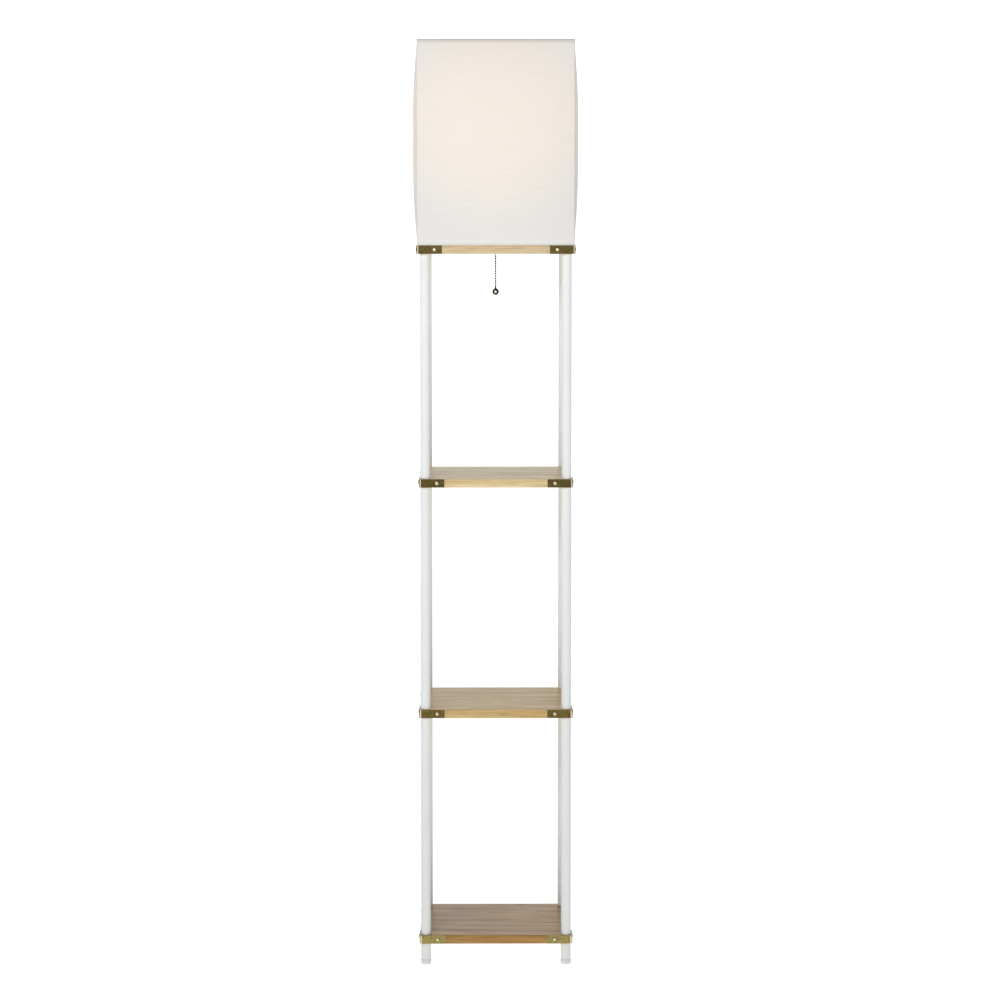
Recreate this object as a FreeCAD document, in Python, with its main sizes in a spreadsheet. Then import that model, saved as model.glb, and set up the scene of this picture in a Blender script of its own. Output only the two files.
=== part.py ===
"""Shelf floor lamp: three oak shelves and a top board on round white posts, with brass corner
brackets, a square bowed shade, one lamp on a riser tube and a pull-chain switch.

Millimetres.  The origin is on the floor under the middle of the lamp, +Z is up and the front
faces -Y.  Each size that can be set by itself is one cell of the sheet, and whatever fits in,
on or through another piece is a formula of those cells.
"""

import FreeCAD, Part
import math
import os
import re

import Sketcher
from FreeCAD import Placement, Rotation, Vector

SIZES = {
    # the stack, from the floor up
    "leg_height": 38.0,
    "lower_post_length": 381.0,
    "middle_post_length": 385.0,
    "upper_post_length": 386.0,
    "board_thickness": 15.0,
    "shade_height": 350.0,
    # boards and posts in plan
    "shelf_width": 263.0,
    "top_board_overhang": 3.5,
    "corner_clearance": 0.4,
    "post_inset": 10.0,
    "post_radius": 8.5,
    # plastic feet under the legs
    "foot_height": 10.0,
    "foot_lip": 0.3,
    "foot_edge": 1.4,
    "spigot_radius": 3.0,
    "spigot_length": 12.0,
    # studs between the posts, and the screws through the top board
    "stud_radius": 3.0,
    "stud_reach": 13.0,
    "stud_hole_clearance": 0.3,
    "thread_clearance": 0.1,
    "bore_spare": 1.0,
    "screw_head_radius": 6.0,
    "screw_sink": 0.2,
    # corner brackets and their dome tacks
    "bracket_leg": 44.0,
    "bracket_height": 14.5,
    "bracket_thickness": 1.2,
    "bracket_bend": 4.4,
    "tack_from_corner": 31.0,
    "tack_head_radius": 4.0,
    "tack_head_height": 1.6,
    "tack_shank": 2.2,
    "tack_length": 14.0,
    "tack_clearance": 0.1,
    # shade
    "shade_width": 270.0,
    "shade_corner": 3.0,
    "shade_wall": 1.2,
    "shade_bow": 8.5,
    "shade_edge_bow": 0.4,
    "wire_radius": 1.5,
    "wire_clearance": 0.1,
    "wire_bend": 5.0,
    "hem_height": 3.0,
    "plate_radius": 15.0,
    "plate_thickness": 1.2,
    # riser tube and the threaded pipe inside it
    "riser_height": 110.0,
    "riser_radius": 8.0,
    "riser_wall": 0.8,
    "pipe_radius": 5.0,
    "pipe_bore": 3.5,
    "pipe_thread_in_socket": 8.0,
    "pipe_end_gap": 1.5,
    "pipe_clearance": 0.2,
    "nut_flats": 14.0,
    "nut_height": 3.5,
    "washer_side": 18.0,
    "washer_thickness": 1.2,
    "recess_clearance": 1.3,
    "recess_spare": 2.3,
    "wire_lead_radius": 1.0,
    "wire_lead_spacing": 4.6,
    # lampholder and bulb
    "socket_neck_radius": 9.0,
    "socket_neck_height": 8.0,
    "socket_wall": 2.5,
    "socket_shoulder": 8.0,
    "socket_floor": 26.0,
    "socket_height": 56.0,
    "shell_wall": 0.5,
    "shell_floor": 0.6,
    "shell_inset": 2.0,
    "shell_clearance": 0.2,
    "shell_opening": 6.0,
    "contact_length": 11.0,
    "contact_width": 4.0,
    "contact_strip": 0.6,
    "contact_height": 2.1,
    "contact_gap": 0.3,
    "bulb_thread_radius": 13.1,
    "bulb_thread_clearance": 0.3,
    "bulb_tip_radius": 4.5,
    "bulb_tip_height": 5.0,
    "bulb_cap_height": 21.0,
    "bulb_globe_radius": 30.0,
    "bulb_length": 110.0,
    "bulb_neck_flare": 2.4,
    "bulb_neck_height": 10.0,
    # pull-chain switch
    "switch_setback": 34.0,
    "switch_width": 24.0,
    "switch_depth": 28.0,
    "switch_height": 17.0,
    "switch_wall": 1.5,
    "switch_floor": 2.0,
    "nipple_radius": 4.75,
    "nipple_bore": 2.3,
    "nipple_clearance": 0.25,
    "switch_nut_flats": 12.5,
    "switch_nut_height": 3.0,
    "nipple_end_gap": 1.0,
    "lever_arm": 10.0,
    "lever_width": 4.4,
    "lever_plate": 0.6,
    "lever_hub_radius": 2.0,
    "lever_eye_radius": 1.2,
    "lever_tilt": 20.0,
    "pin_radius": 1.0,
    "pin_clearance": 0.06,
    "pull_travel": 7.0,
    "lead_radius": 2.0,
    "lead_clearance": 0.2,
    "lead_lift": 4.0,
    "contact_blade": 0.6,
    "contact_blade_depth": 8.0,
    "contact_blade_height": 9.0,
    # bead chain and its ball
    "bead_radius": 1.6,
    "bead_pitch": 4.31,
    "link_radius": 0.45,
    "first_bead_drop": 1.6,
    "joint_gap": 0.08,
    "connector_height": 4.2,
    "connector_top_radius": 1.2,
    "connector_radius": 2.2,
    "ball_radius": 5.6,
    "ball_socket_depth": 1.6,
    # cord outlet at the back of the top board
    "cord_outlet_radius": 4.5,
    "cord_outlet_setback": 100.0,
}

HANGING_BEADS = 14  # below the top board
SWING_BEAD = 6  # beads between the two flexing points of the hanging chain
LEVER_BEADS = 7  # inside the switch, the last one resting on the lever

# Small and hidden turned pieces are drawn with flats, as many as their size needs.
THREAD_SIDES = 8
BEAD_SIDES = 6
DOME_SIDES = 8
HOLE_SIDES = 12
TURNED_SIDES = 20

doc = FreeCAD.newDocument("ShelfFloorLamp")
sheet = doc.addObject("Spreadsheet::Sheet", "Sizes")
for row, (alias, number) in enumerate(SIZES.items(), start=1):
    sheet.set(f"A{row}", alias.replace("_", " "))
    sheet.set(f"B{row}", str(number))
    sheet.setAlias(f"B{row}", alias)
doc.recompute()


def bound(formula):
    """The formula as an expression, each size in it pointing at its cell of the sheet."""
    return re.sub(r"[a-z_]{4,}", lambda word: cell(word.group()), str(formula))


def cell(word):
    """A size's cell, or the word itself where it is a function of the expression."""
    return f"Sizes.{word}" if word in SIZES else word


def value(formula):
    """The formula's present value in millimetres."""
    return float(sheet.evalExpression(bound(formula)))


def bind(item, **formulas):
    """Bind properties of an object to formulas."""
    for name, formula in formulas.items():
        item.setExpression(name, bound(formula))
    return item


def place(item, x=0, y=0, z=0, turn=None):
    """Put an object at a place given by formulas, after an optional turn (axis, degrees)."""
    if turn:
        item.Placement = Placement(Vector(), Rotation(Vector(*turn[0]), turn[1]))
    for axis, formula in zip("xyz", (x, y, z)):
        item.setExpression(f"Placement.Base.{axis}", bound(formula))
    return item


# ---------------------------------------------------------------- shapes made from sketches


def origin_feature(body, role):
    """A plane or an axis of the body's own origin."""
    return next(item for item in body.Origin.OriginFeatures if item.Role == role)


def bulged(start, end, radius):
    """A minor arc from start to end that bulges to the right of the way it goes."""
    chord = end - start
    rise = radius - math.sqrt(max(radius**2 - chord.Length**2 / 4, 0.0))
    outward = Vector(chord.y, -chord.x, 0).normalize()
    return Part.Arc(start, (start + end) * 0.5 + outward * rise, end)


def sketch_on(body, name, role, outlines=(), circles=(), offset=0):
    """A sketch on an origin plane, lifted by offset along its normal.

    An outline is a closed list of points (x, y) or (x, y, radius), all formulas.  A radius
    makes the edge that arrives at its point an arc.  A circle is (x, y, radius).
    """
    sketch = body.newObject("Sketcher::SketchObject", name)
    sketch.AttachmentSupport = (origin_feature(body, role), "")
    sketch.MapMode = "FlatFace"
    sketch.setExpression(".AttachmentOffset.Base.z", bound(offset))
    for outline in outlines:
        draw_outline(sketch, outline)
    for circle in circles:
        draw_circle(sketch, circle)
    return sketch


def hold(sketch, kind, geometry, point, formula):
    """Dimension a point of the sketch from its origin by a formula."""
    number = sketch.addConstraint(
        Sketcher.Constraint(kind, -1, 1, geometry, point, value(formula))
    )
    sketch.setExpression(f"Constraints[{number}]", bound(formula))


def hold_radius(sketch, geometry, formula):
    """Dimension the radius of an arc or a circle by a formula."""
    number = sketch.addConstraint(Sketcher.Constraint("Radius", geometry, value(formula)))
    sketch.setExpression(f"Constraints[{number}]", bound(formula))


def draw_outline(sketch, outline):
    """Draw a closed outline whose corners are dimensioned from the sketch's origin."""
    corners = [Vector(value(point[0]), value(point[1]), 0) for point in outline]
    first = sketch.GeometryCount
    ends = []
    for index, corner in enumerate(corners):
        arriving = outline[index][2] if len(outline[index]) > 2 else None
        start = corners[index - 1]
        if arriving is None:
            edge = Part.LineSegment(start, corner)
        else:
            edge = bulged(start, corner, value(arriving))
        number = sketch.addGeometry(edge, False)
        forward = sketch.Geometry[number].StartPoint.distanceToPoint(start) < 1e-6
        ends.append((1, 2) if forward else (2, 1))
        if arriving is not None:
            hold_radius(sketch, number, arriving)
    for index, point in enumerate(outline):
        following = (index + 1) % len(outline)
        sketch.addConstraint(
            Sketcher.Constraint(
                "Coincident", first + index, ends[index][1], first + following, ends[following][0]
            )
        )
        hold(sketch, "DistanceX", first + index, ends[index][1], point[0])
        hold(sketch, "DistanceY", first + index, ends[index][1], point[1])


def draw_circle(sketch, circle):
    """Draw a circle whose centre and radius are dimensioned."""
    x, y, radius = circle
    round_edge = Part.Circle(Vector(value(x), value(y), 0), Vector(0, 0, 1), value(radius))
    number = sketch.addGeometry(round_edge, False)
    hold(sketch, "DistanceX", number, 3, x)
    hold(sketch, "DistanceY", number, 3, y)
    hold_radius(sketch, number, radius)


def plate(name, outline, thickness):
    """A body padded up from an outline in plan."""
    body = doc.addObject("PartDesign::Body", name)
    pad = body.newObject("PartDesign::Pad", f"{name}_pad")
    pad.Profile = sketch_on(body, f"{name}_outline", "XY_Plane", [outline])
    bind(pad, Length=thickness)
    body.Tip = pad
    return body


def pocket(body, name, sketch, depth=None, reverse=False):
    """Cut a sketch out of the body, right through where no depth is given."""
    doc.recompute()
    before = body.Shape.Volume
    cut_out = body.newObject("PartDesign::Pocket", name)
    cut_out.Profile = sketch
    cut_out.Reversed = reverse
    if depth is None:
        cut_out.Type = "ThroughAll"
    else:
        bind(cut_out, Length=depth)
    body.Tip = cut_out
    doc.recompute()
    if not body.Shape.Volume < before - 1e-6:
        raise ValueError(f"{name} cuts nothing")
    return cut_out


def round_the_middle(body, name, feature, count=4):
    """Repeat a feature evenly about the body's Z axis."""
    pattern = body.newObject("PartDesign::PolarPattern", name)
    pattern.Originals = [feature]
    pattern.Axis = (origin_feature(body, "Z_Axis"), [""])
    pattern.Angle = 360
    pattern.Occurrences = count
    body.Tip = pattern
    return pattern


# ---------------------------------------------------------------- primitives and booleans


def cylinder(name, radius, height, x=0, y=0, z=0, turn=None):
    """A cylinder whose sizes and place are formulas."""
    item = bind(doc.addObject("Part::Cylinder", name), Radius=radius, Height=height)
    return place(item, x, y, z, turn)


def prism(name, sides, circumradius, height, x=0, y=0, z=0):
    """A regular prism whose sizes and place are formulas."""
    item = doc.addObject("Part::Prism", name)
    item.Polygon = sides
    return place(bind(item, Circumradius=circumradius, Height=height), x, y, z)


def box(name, width, depth, height, x=0, y=0, z=0):
    """A box centred on x and y that stands on z."""
    item = bind(doc.addObject("Part::Box", name), Length=width, Width=depth, Height=height)
    return place(item, f"{x} - ({width})/2", f"{y} - ({depth})/2", z)


def fuse(name, pieces):
    """One solid from pieces that run into each other."""
    item = doc.addObject("Part::MultiFuse", name)
    item.Shapes = pieces
    return item


def cut(name, base, tools):
    """The base less its tools."""
    item = doc.addObject("Part::Cut", name)
    item.Base = base
    item.Tool = tools[0] if len(tools) == 1 else fuse(f"{name}_tools", tools)
    return item


def turned_copies(name, original, angles=(0, 90, 180, 270)):
    """Copies of a piece about the lamp's middle line, as separate solids in one group."""
    group = doc.addObject("Part::Compound", name)
    copies = []
    for angle in angles:
        copy = doc.addObject("App::Link", f"{name}_{angle}")
        copy.LinkedObject = original
        copy.LinkTransform = True
        copy.Placement = Placement(Vector(), Rotation(Vector(0, 0, 1), angle))
        copies.append(copy)
    group.Links = copies
    return group


def shaped(name, shape):
    """A feature that holds a shape worked out from the sheet's values."""
    item = doc.addObject("Part::Feature", name)
    item.Shape = shape
    return item


def turned(sides, outline):
    """A solid turned about Z through flats, from a closed outline of (radius, height)."""
    corners = [(value(radius), value(height)) for radius, height in outline]
    turns = [2 * math.pi * side / sides for side in range(sides + 1)]
    rings = [
        [Vector(radius * math.cos(turn), radius * math.sin(turn), height) for turn in turns]
        for radius, height in corners
    ]
    faces = []
    for ring, next_ring in zip(rings, rings[1:] + rings[:1]):
        for side in range(sides):
            around = [ring[side], ring[side + 1], next_ring[side + 1], next_ring[side]]
            edge = [point for i, point in enumerate(around) if not point.isEqual(around[i - 1], 1e-6)]
            if len(edge) > 2:
                faces.append(Part.Face(Part.makePolygon(edge + edge[:1])))
    solid = Part.makeSolid(Part.makeShell(faces))
    if solid.Volume < 0:
        solid.reverse()
    return solid.removeSplitter()


def turning(name, sides, outline, x=0, y=0, z=0):
    """A turned piece put in its place."""
    return place(shaped(name, turned(sides, outline)), x, y, z)


def ring_outline(inner, outer, bottom, top):
    """The outline of a plain ring or tube."""
    return [(inner, bottom), (outer, bottom), (outer, top), (inner, top)]


parts = {}


def keep(name, item):
    """Name a finished sub-part; its name is its label and its file."""
    item.Label = name
    parts[name] = item
    return item


# ---------------------------------------------------------------- heights shared by all pieces

LOWER = "leg_height"
MIDDLE = f"({LOWER} + board_thickness + lower_post_length)"
UPPER = f"({MIDDLE} + board_thickness + middle_post_length)"
TOP_BOARD = f"({UPPER} + board_thickness + upper_post_length)"
TOP = f"({TOP_BOARD} + board_thickness)"
TOP_WIDTH = "(shelf_width + 2*top_board_overhang)"
BOARDS = {
    "lower_shelf": ("shelf_width", LOWER),
    "middle_shelf": ("shelf_width", MIDDLE),
    "upper_shelf": ("shelf_width", UPPER),
    "top_board": (TOP_WIDTH, TOP_BOARD),
}
POSTS = {
    "lower": ("lower_post_length", LOWER),
    "middle": ("middle_post_length", MIDDLE),
    "upper": ("upper_post_length", UPPER),
}
CORNERS = {
    "front_left": ("-1", "-1"),
    "front_right": ("1", "-1"),
    "back_left": ("-1", "1"),
    "back_right": ("1", "1"),
}
POST_AT = "(shelf_width/2 - post_inset)"
BOARD_CORNER = "(bracket_bend - bracket_thickness + corner_clearance)"
FOOT_RADIUS = "(post_radius + foot_lip)"
SCREW_LENGTH = "(board_thickness + stud_reach - screw_sink)"
STUD_BORE = "(stud_radius + thread_clearance)"
SPIGOT_BORE = "(spigot_radius + thread_clearance)"

# ---------------------------------------------------------------- boards


def square_outline(half, corner):
    """A square whose corners are cut at 45 degrees, anticlockwise."""
    flat = f"({half} - {corner})"
    return [
        (flat, f"-{half}"),
        (half, f"-{flat}"),
        (half, flat),
        (flat, half),
        (f"-{flat}", half),
        (f"-{half}", flat),
        (f"-{half}", f"-{flat}"),
        (f"-{flat}", f"-{half}"),
    ]


def polygon_hole(x, y, radius, sides):
    """A regular polygon about a point, for a hole that another piece covers."""
    turns = [2 * math.pi * side / sides for side in range(sides)]
    return [
        (f"{x} + {radius}*{math.cos(turn):.6f}", f"{y} + {radius}*{math.sin(turn):.6f}")
        for turn in turns
    ]


def square_hole(x, y, side):
    """A square outline about a point."""
    reach = f"({side})/2"
    return [
        (f"{x} - {reach}", f"{y} - {reach}"),
        (f"{x} + {reach}", f"{y} - {reach}"),
        (f"{x} + {reach}", f"{y} + {reach}"),
        (f"{x} - {reach}", f"{y} + {reach}"),
    ]


def board(name, width, level):
    """A board with its stud holes and the holes that its tacks make in the edges."""
    half = f"({width}/2)"
    body = plate(f"{name}_board", square_outline(half, BOARD_CORNER), "board_thickness")
    hole = polygon_hole(POST_AT, POST_AT, "(stud_radius + stud_hole_clearance)", THREAD_SIDES)
    drill = sketch_on(body, f"{name}_stud_hole", "XY_Plane", [hole])
    holes = pocket(body, f"{name}_stud_pocket", drill, reverse=True)
    round_the_middle(body, f"{name}_stud_holes", holes)

    tack_at = f"({half} + bracket_thickness - tack_from_corner)"
    side = "tack_shank + 2*tack_clearance"
    outlines = [square_hole(f"{sign}{tack_at}", "board_thickness/2", side) for sign in ("", "-")]
    edge = sketch_on(body, f"{name}_tack_hole", "XZ_Plane", outlines, offset=half)
    depth = "tack_length - bracket_thickness + bore_spare"
    tacks = pocket(body, f"{name}_tack_pocket", edge, depth)
    round_the_middle(body, f"{name}_tack_holes", tacks)
    return place(body, z=level)


for board_name, (width, level) in BOARDS.items():
    finished = board(board_name, width, level)
    if board_name != "top_board":
        keep(board_name, finished)
top_blank = finished

# The top board is also countersunk for its screws, recessed underneath for the two nuts and
# drilled for the pipe, the switch and the cord.
HEAD_HEIGHT = "(screw_head_radius - stud_radius)"
SWITCH_Y = "(-switch_setback)"
NUT_RECESS = "(washer_side/sqrt(2) + recess_clearance)"
NUT_DEPTH = "(washer_thickness + nut_height + recess_spare)"
SWITCH_RECESS = "(switch_nut_flats/sqrt(3) + recess_clearance)"
SWITCH_DEPTH = "(switch_nut_height + recess_spare)"


def top_hole(name, radius, depth, y=0):
    """A covered hole or recess from the underside of the top board."""
    return prism(name, HOLE_SIDES, radius, depth, y=y, z=TOP_BOARD)


top_tools = [
    top_hole("pipe_hole", "pipe_radius + pipe_clearance", "board_thickness"),
    top_hole("nut_recess", NUT_RECESS, NUT_DEPTH),
    top_hole("nipple_hole", "nipple_radius + nipple_clearance", "board_thickness", SWITCH_Y),
    top_hole("switch_recess", SWITCH_RECESS, SWITCH_DEPTH, SWITCH_Y),
    cylinder(
        "cord_outlet", "cord_outlet_radius", "board_thickness", y="cord_outlet_setback", z=TOP_BOARD
    ),
]
countersink = [
    ("0", f"-{HEAD_HEIGHT} - screw_sink"),
    ("stud_radius + stud_hole_clearance", f"-{HEAD_HEIGHT} - screw_sink"),
    ("screw_head_radius + stud_hole_clearance", "-screw_sink"),
    ("screw_head_radius + stud_hole_clearance", "0"),
    ("0", "0"),
]
for corner, (x_side, y_side) in CORNERS.items():
    at = {"x": f"{x_side}*{POST_AT}", "y": f"{y_side}*{POST_AT}", "z": TOP}
    top_tools.append(turning(f"countersink_{corner}", HOLE_SIDES, countersink, **at))
keep("top_board", cut("top_board_cut", top_blank, top_tools))

# ---------------------------------------------------------------- posts, legs and feet


def post(name, x_side, y_side, length, level):
    """A round post between two boards, bored at both ends for the studs."""
    at = {"x": f"{x_side}*{POST_AT}", "y": f"{y_side}*{POST_AT}"}
    foot = f"{level} + board_thickness"
    depth = "(stud_reach + bore_spare)"
    rod = cylinder(f"{name}_rod", "post_radius", length, z=foot, **at)
    lower = prism(f"{name}_lower_bore", THREAD_SIDES, STUD_BORE, depth, z=foot, **at)
    top = f"{foot} + {length} - {depth}"
    upper = prism(f"{name}_upper_bore", THREAD_SIDES, STUD_BORE, depth, z=top, **at)
    return cut(f"{name}_bored", rod, [lower, upper])


for tier, (length, level) in POSTS.items():
    for corner, (x_side, y_side) in CORNERS.items():
        post_name = f"{tier}_post_{corner}"
        keep(post_name, post(post_name, x_side, y_side, length, level))


def leg():
    """The short leg at the back right corner, bored for its stud and its foot."""
    at = {"x": POST_AT, "y": POST_AT}
    length = "leg_height - foot_height"
    rod = cylinder("leg_rod", "post_radius", length, z="foot_height", **at)
    depth = "(stud_reach + bore_spare)"
    stud = prism("leg_stud_bore", THREAD_SIDES, STUD_BORE, depth, z=f"leg_height - {depth}", **at)
    spigot = prism(
        "leg_spigot_bore", THREAD_SIDES, SPIGOT_BORE, "spigot_length", z="foot_height", **at
    )
    return cut("leg_bored", rod, [stud, spigot])


def foot():
    """A plastic foot with a chamfered sole and a spigot that plugs into the leg."""
    outline = [
        ("0", "0"),
        (f"{FOOT_RADIUS} - foot_edge", "0"),
        (FOOT_RADIUS, "foot_edge"),
        (FOOT_RADIUS, "foot_height"),
        ("0", "foot_height"),
    ]
    pad = turning("foot_pad", TURNED_SIDES, outline, POST_AT, POST_AT)
    at = {"x": POST_AT, "y": POST_AT, "z": "foot_height"}
    length = "spigot_length - bore_spare"
    return fuse("foot_piece", [pad, prism("foot_spigot", THREAD_SIDES, "spigot_radius", length, **at)])


keep("legs", turned_copies("leg_group", leg()))
keep("leg_feet", turned_copies("foot_group", foot()))

# ---------------------------------------------------------------- studs and screws

stud_levels = []
for stud_level, (width, level) in BOARDS.items():
    if stud_level == "top_board":
        continue
    stud = prism(
        f"stud_{stud_level}",
        THREAD_SIDES,
        "stud_radius",
        "board_thickness + 2*stud_reach",
        x=POST_AT,
        y=POST_AT,
        z=f"{level} - stud_reach",
    )
    stud_levels.append(turned_copies(f"studs_{stud_level}", stud))
post_studs = doc.addObject("Part::Compound", "stud_group")
post_studs.Links = stud_levels
keep("post_studs", post_studs)

screw_at = {"x": POST_AT, "y": POST_AT}
screw_head_outline = [
    ("0", f"-{HEAD_HEIGHT}"),
    ("stud_radius", f"-{HEAD_HEIGHT}"),
    ("screw_head_radius", "0"),
    ("0", "0"),
]
SHANK = f"({SCREW_LENGTH} - {HEAD_HEIGHT})"
head = turning("screw_head", HOLE_SIDES, screw_head_outline, z=f"{TOP} - screw_sink", **screw_at)
shank_foot = f"{TOP} - screw_sink - {SCREW_LENGTH}"
shank = prism("screw_shank", THREAD_SIDES, "stud_radius", SHANK, z=shank_foot, **screw_at)
keep("top_screws", turned_copies("screw_group", fuse("top_screw", [head, shank])))

# ---------------------------------------------------------------- corner brackets and tacks


BEND_FLATS = 2  # a bracket's bend is pressed in this many flats


def bend(centre, radius):
    """The corners of a quarter bend about a centre on the diagonal, from +X to +Y."""
    turns = [math.pi / 2 * step / BEND_FLATS for step in range(BEND_FLATS + 1)]
    return [
        (f"{centre} + {radius}*{math.cos(turn):.6f}", f"{centre} + {radius}*{math.sin(turn):.6f}")
        for turn in turns
    ]


def bracket(name, width, level):
    """A strip bent round the board's corner, with a square hole in each leg for its tack."""
    out = f"({width}/2 + bracket_thickness)"
    inside = f"({width}/2)"
    end = f"({out} - bracket_leg)"
    centre = f"({out} - bracket_bend)"
    outer_bend = bend(centre, "bracket_bend")
    inner_bend = bend(centre, "(bracket_bend - bracket_thickness)")
    outline = [(out, end)] + outer_bend + [(end, out), (end, inside)]
    outline += inner_bend[::-1] + [(inside, end)]
    body = plate(f"{name}_strip", outline, "bracket_height")
    hole = [
        square_hole(
            f"{out} - tack_from_corner", "bracket_height/2", "tack_shank + 2*tack_clearance"
        )
    ]
    back = sketch_on(body, f"{name}_back_hole", "XZ_Plane", hole)
    pocket(body, f"{name}_back_pocket", back)
    side = sketch_on(body, f"{name}_side_hole", "YZ_Plane", hole)
    pocket(body, f"{name}_side_pocket", side, reverse=True)
    return place(body, z=f"{level} + (board_thickness - bracket_height)/2")


for board_name, (width, level) in BOARDS.items():
    strip = bracket(f"{board_name}_bracket", width, level)
    keep(f"{board_name}_brackets", turned_copies(f"{board_name}_bracket_group", strip))


def tack():
    """A dome tack along +Z: the head's back is at zero and the square shank goes below."""
    head = value("tack_head_radius")
    height = value("tack_head_height")
    ball = (head**2 + height**2) / (2 * height)
    crown = 0.75 * height
    shoulder = math.sqrt(ball**2 - (ball - height + crown) ** 2)
    dome = turned(DOME_SIDES, [(0, 0), (head, 0), (shoulder, crown), (0, height)])
    side = value("tack_shank")
    length = value("tack_length")
    shank = Part.makeBox(side, side, length, Vector(-side / 2, -side / 2, -length))
    return dome.fuse(shank)


def tack_places():
    """Where each tack goes: two on each edge of each board, heads outwards."""
    for width, level in BOARDS.values():
        face = value(f"{width}/2 + bracket_thickness")
        along = face - value("tack_from_corner")
        height = value(f"{level} + board_thickness/2")
        for turn in range(4):
            about = Placement(Vector(), Rotation(Vector(0, 0, 1), 90 * turn))
            for sign in (-1, 1):
                front = Placement(
                    Vector(sign * along, -face, height), Rotation(Vector(1, 0, 0), 90)
                )
                yield about.multiply(front)


def at_places(shape, places):
    """Copies of a shape, one at each place, as separate solids."""
    copies = []
    for where in places:
        copy = shape.copy()
        copy.Placement = where
        copies.append(copy)
    return Part.makeCompound(copies)


keep("bracket_tacks", shaped("tack_group", at_places(tack(), tack_places())))

# ---------------------------------------------------------------- shade

SHADE_LEVELS = (0, 0.06, 0.2, 0.4, 0.6, 0.8, 0.94, 1)  # shares of the shade's height


def shade_outline(share, inset):
    """The shade's section at a share of its height: four shallow arcs and cut corners."""
    half = f"(shade_width/2 - {inset})"
    flat = "(shade_width/2 - shade_corner)"
    bow = f"(shade_edge_bow + shade_bow*(1 - abs({2 * share - 1})^3))"
    side = f"(({flat}^2 + {bow}^2)/(2*{bow}))"
    return [
        (flat, f"-{half}", side),
        (half, f"-{flat}"),
        (half, flat, side),
        (flat, half),
        (f"-{flat}", half, side),
        (f"-{half}", flat),
        (f"-{half}", f"-{flat}", side),
        (f"-{flat}", f"-{half}"),
    ]


def shade_fabric():
    """The fabric on its stiff backing, bowed outwards between the two wire rings."""
    body = doc.addObject("PartDesign::Body", "shade_shell")
    lofts = (("AdditiveLoft", "0"), ("SubtractiveLoft", "shade_wall"))
    for kind, inset in lofts:
        sections = []
        for step, share in enumerate(SHADE_LEVELS):
            outline = shade_outline(share, inset)
            sketch_name = f"shade_{kind}_{step}"
            height = f"shade_height*{share}"
            sections.append(sketch_on(body, sketch_name, "XY_Plane", [outline], offset=height))
        loft = body.newObject(f"PartDesign::{kind}", f"shade_{kind}")
        loft.Profile = sections[0]
        loft.Sections = sections[1:]
        loft.Ruled = True
        body.Tip = loft
        doc.recompute()
    return place(body, z=TOP)


keep("shade_fabric", shade_fabric())

RING_HALF = "(shade_width/2 - shade_wall - wire_clearance - wire_radius)"
RING_FLAT = f"({RING_HALF} - wire_bend)"
BOTTOM_WIRE = f"({TOP} + wire_clearance + wire_radius)"
TOP_WIRE = f"({TOP} + shade_height - hem_height)"
SPOKE_LEVEL = f"({TOP} + plate_thickness + wire_radius - wire_clearance)"


def wire_corners():
    """The ring's path in plan: a square whose corners are cut by the bend of the wire."""
    half, flat = value(RING_HALF), value(RING_FLAT)
    corners = []
    for turn in range(4):
        angle = Rotation(Vector(0, 0, 1), 90 * turn)
        corners += [angle.multVec(Vector(half, -flat, 0)), angle.multVec(Vector(half, flat, 0))]
    return corners


def wire_ring(name, level):
    """A wire bent round to a square and butt welded."""
    half, height = value(RING_HALF), value(level)
    corners = [corner + Vector(0, 0, height) for corner in wire_corners()]
    middle = Vector(half, 0, height)
    path = Part.makePolygon([middle] + corners[1:] + corners[:1] + [middle])
    radius = value("wire_radius")
    section = Part.makePolygon(
        [
            middle + Vector(radius * math.cos(angle), 0, radius * math.sin(angle))
            for angle in (math.pi * (2 * side + 1) / THREAD_SIDES for side in range(THREAD_SIDES + 1))
        ]
    )
    return shaped(name, path.makePipeShell([section], True, False, 1))


keep("shade_top_ring", wire_ring("top_wire", TOP_WIRE))

# The bottom ring carries four spokes and the clamping plate, welded into one piece.
SPOKE_START = "(plate_radius - 5)"
SPOKE_LENGTH = f"(sqrt(2)*({RING_HALF} - wire_bend/2) - {SPOKE_START})"


def spoke(turn):
    """A wire from the clamping plate out to one corner of the ring."""
    end = f"{SPOKE_START} + {SPOKE_LENGTH}"
    wire = turned(THREAD_SIDES, ring_outline("0", "wire_radius", SPOKE_START, end))
    wire.Placement = Placement(Vector(0, 0, value(SPOKE_LEVEL)), Rotation(turn, 0, 0)).multiply(
        Placement(Vector(), Rotation(Vector(0, 1, 0), 90))
    )
    return shaped(f"spoke_{turn}", wire)


spokes = [spoke(turn) for turn in (45, 135, 225, 315)]
PIPE_HOLE = "(pipe_radius + pipe_clearance)"
plate_outline = ring_outline(PIPE_HOLE, "plate_radius", "0", "plate_thickness")
clamp_plate = turning("clamp_plate", HOLE_SIDES, plate_outline, z=TOP)
bottom_pieces = [wire_ring("bottom_wire", BOTTOM_WIRE), clamp_plate] + spokes
keep("shade_bottom_ring", fuse("bottom_ring_welded", bottom_pieces))


def corner_struts():
    """Four upright wires between the rings, one in each corner."""
    at = f"({RING_HALF} - wire_bend/2)"
    foot_level = f"({SPOKE_LEVEL} + wire_radius)"
    length = f"({TOP_WIRE} - wire_radius - {foot_level})"
    strut = prism("strut", THREAD_SIDES, "wire_radius", length, x=at, y=at, z=foot_level)
    return turned_copies("strut_group", strut)


keep("shade_corner_struts", corner_struts())

# ---------------------------------------------------------------- riser, pipe and nut

PLATE_TOP = f"({TOP} + plate_thickness)"
SOCKET = f"({PLATE_TOP} + riser_height)"
RECESS = f"({TOP_BOARD} + {NUT_DEPTH})"
LEAD_LEVEL = f"({TOP} + switch_floor + lead_radius + lead_lift)"


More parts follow.
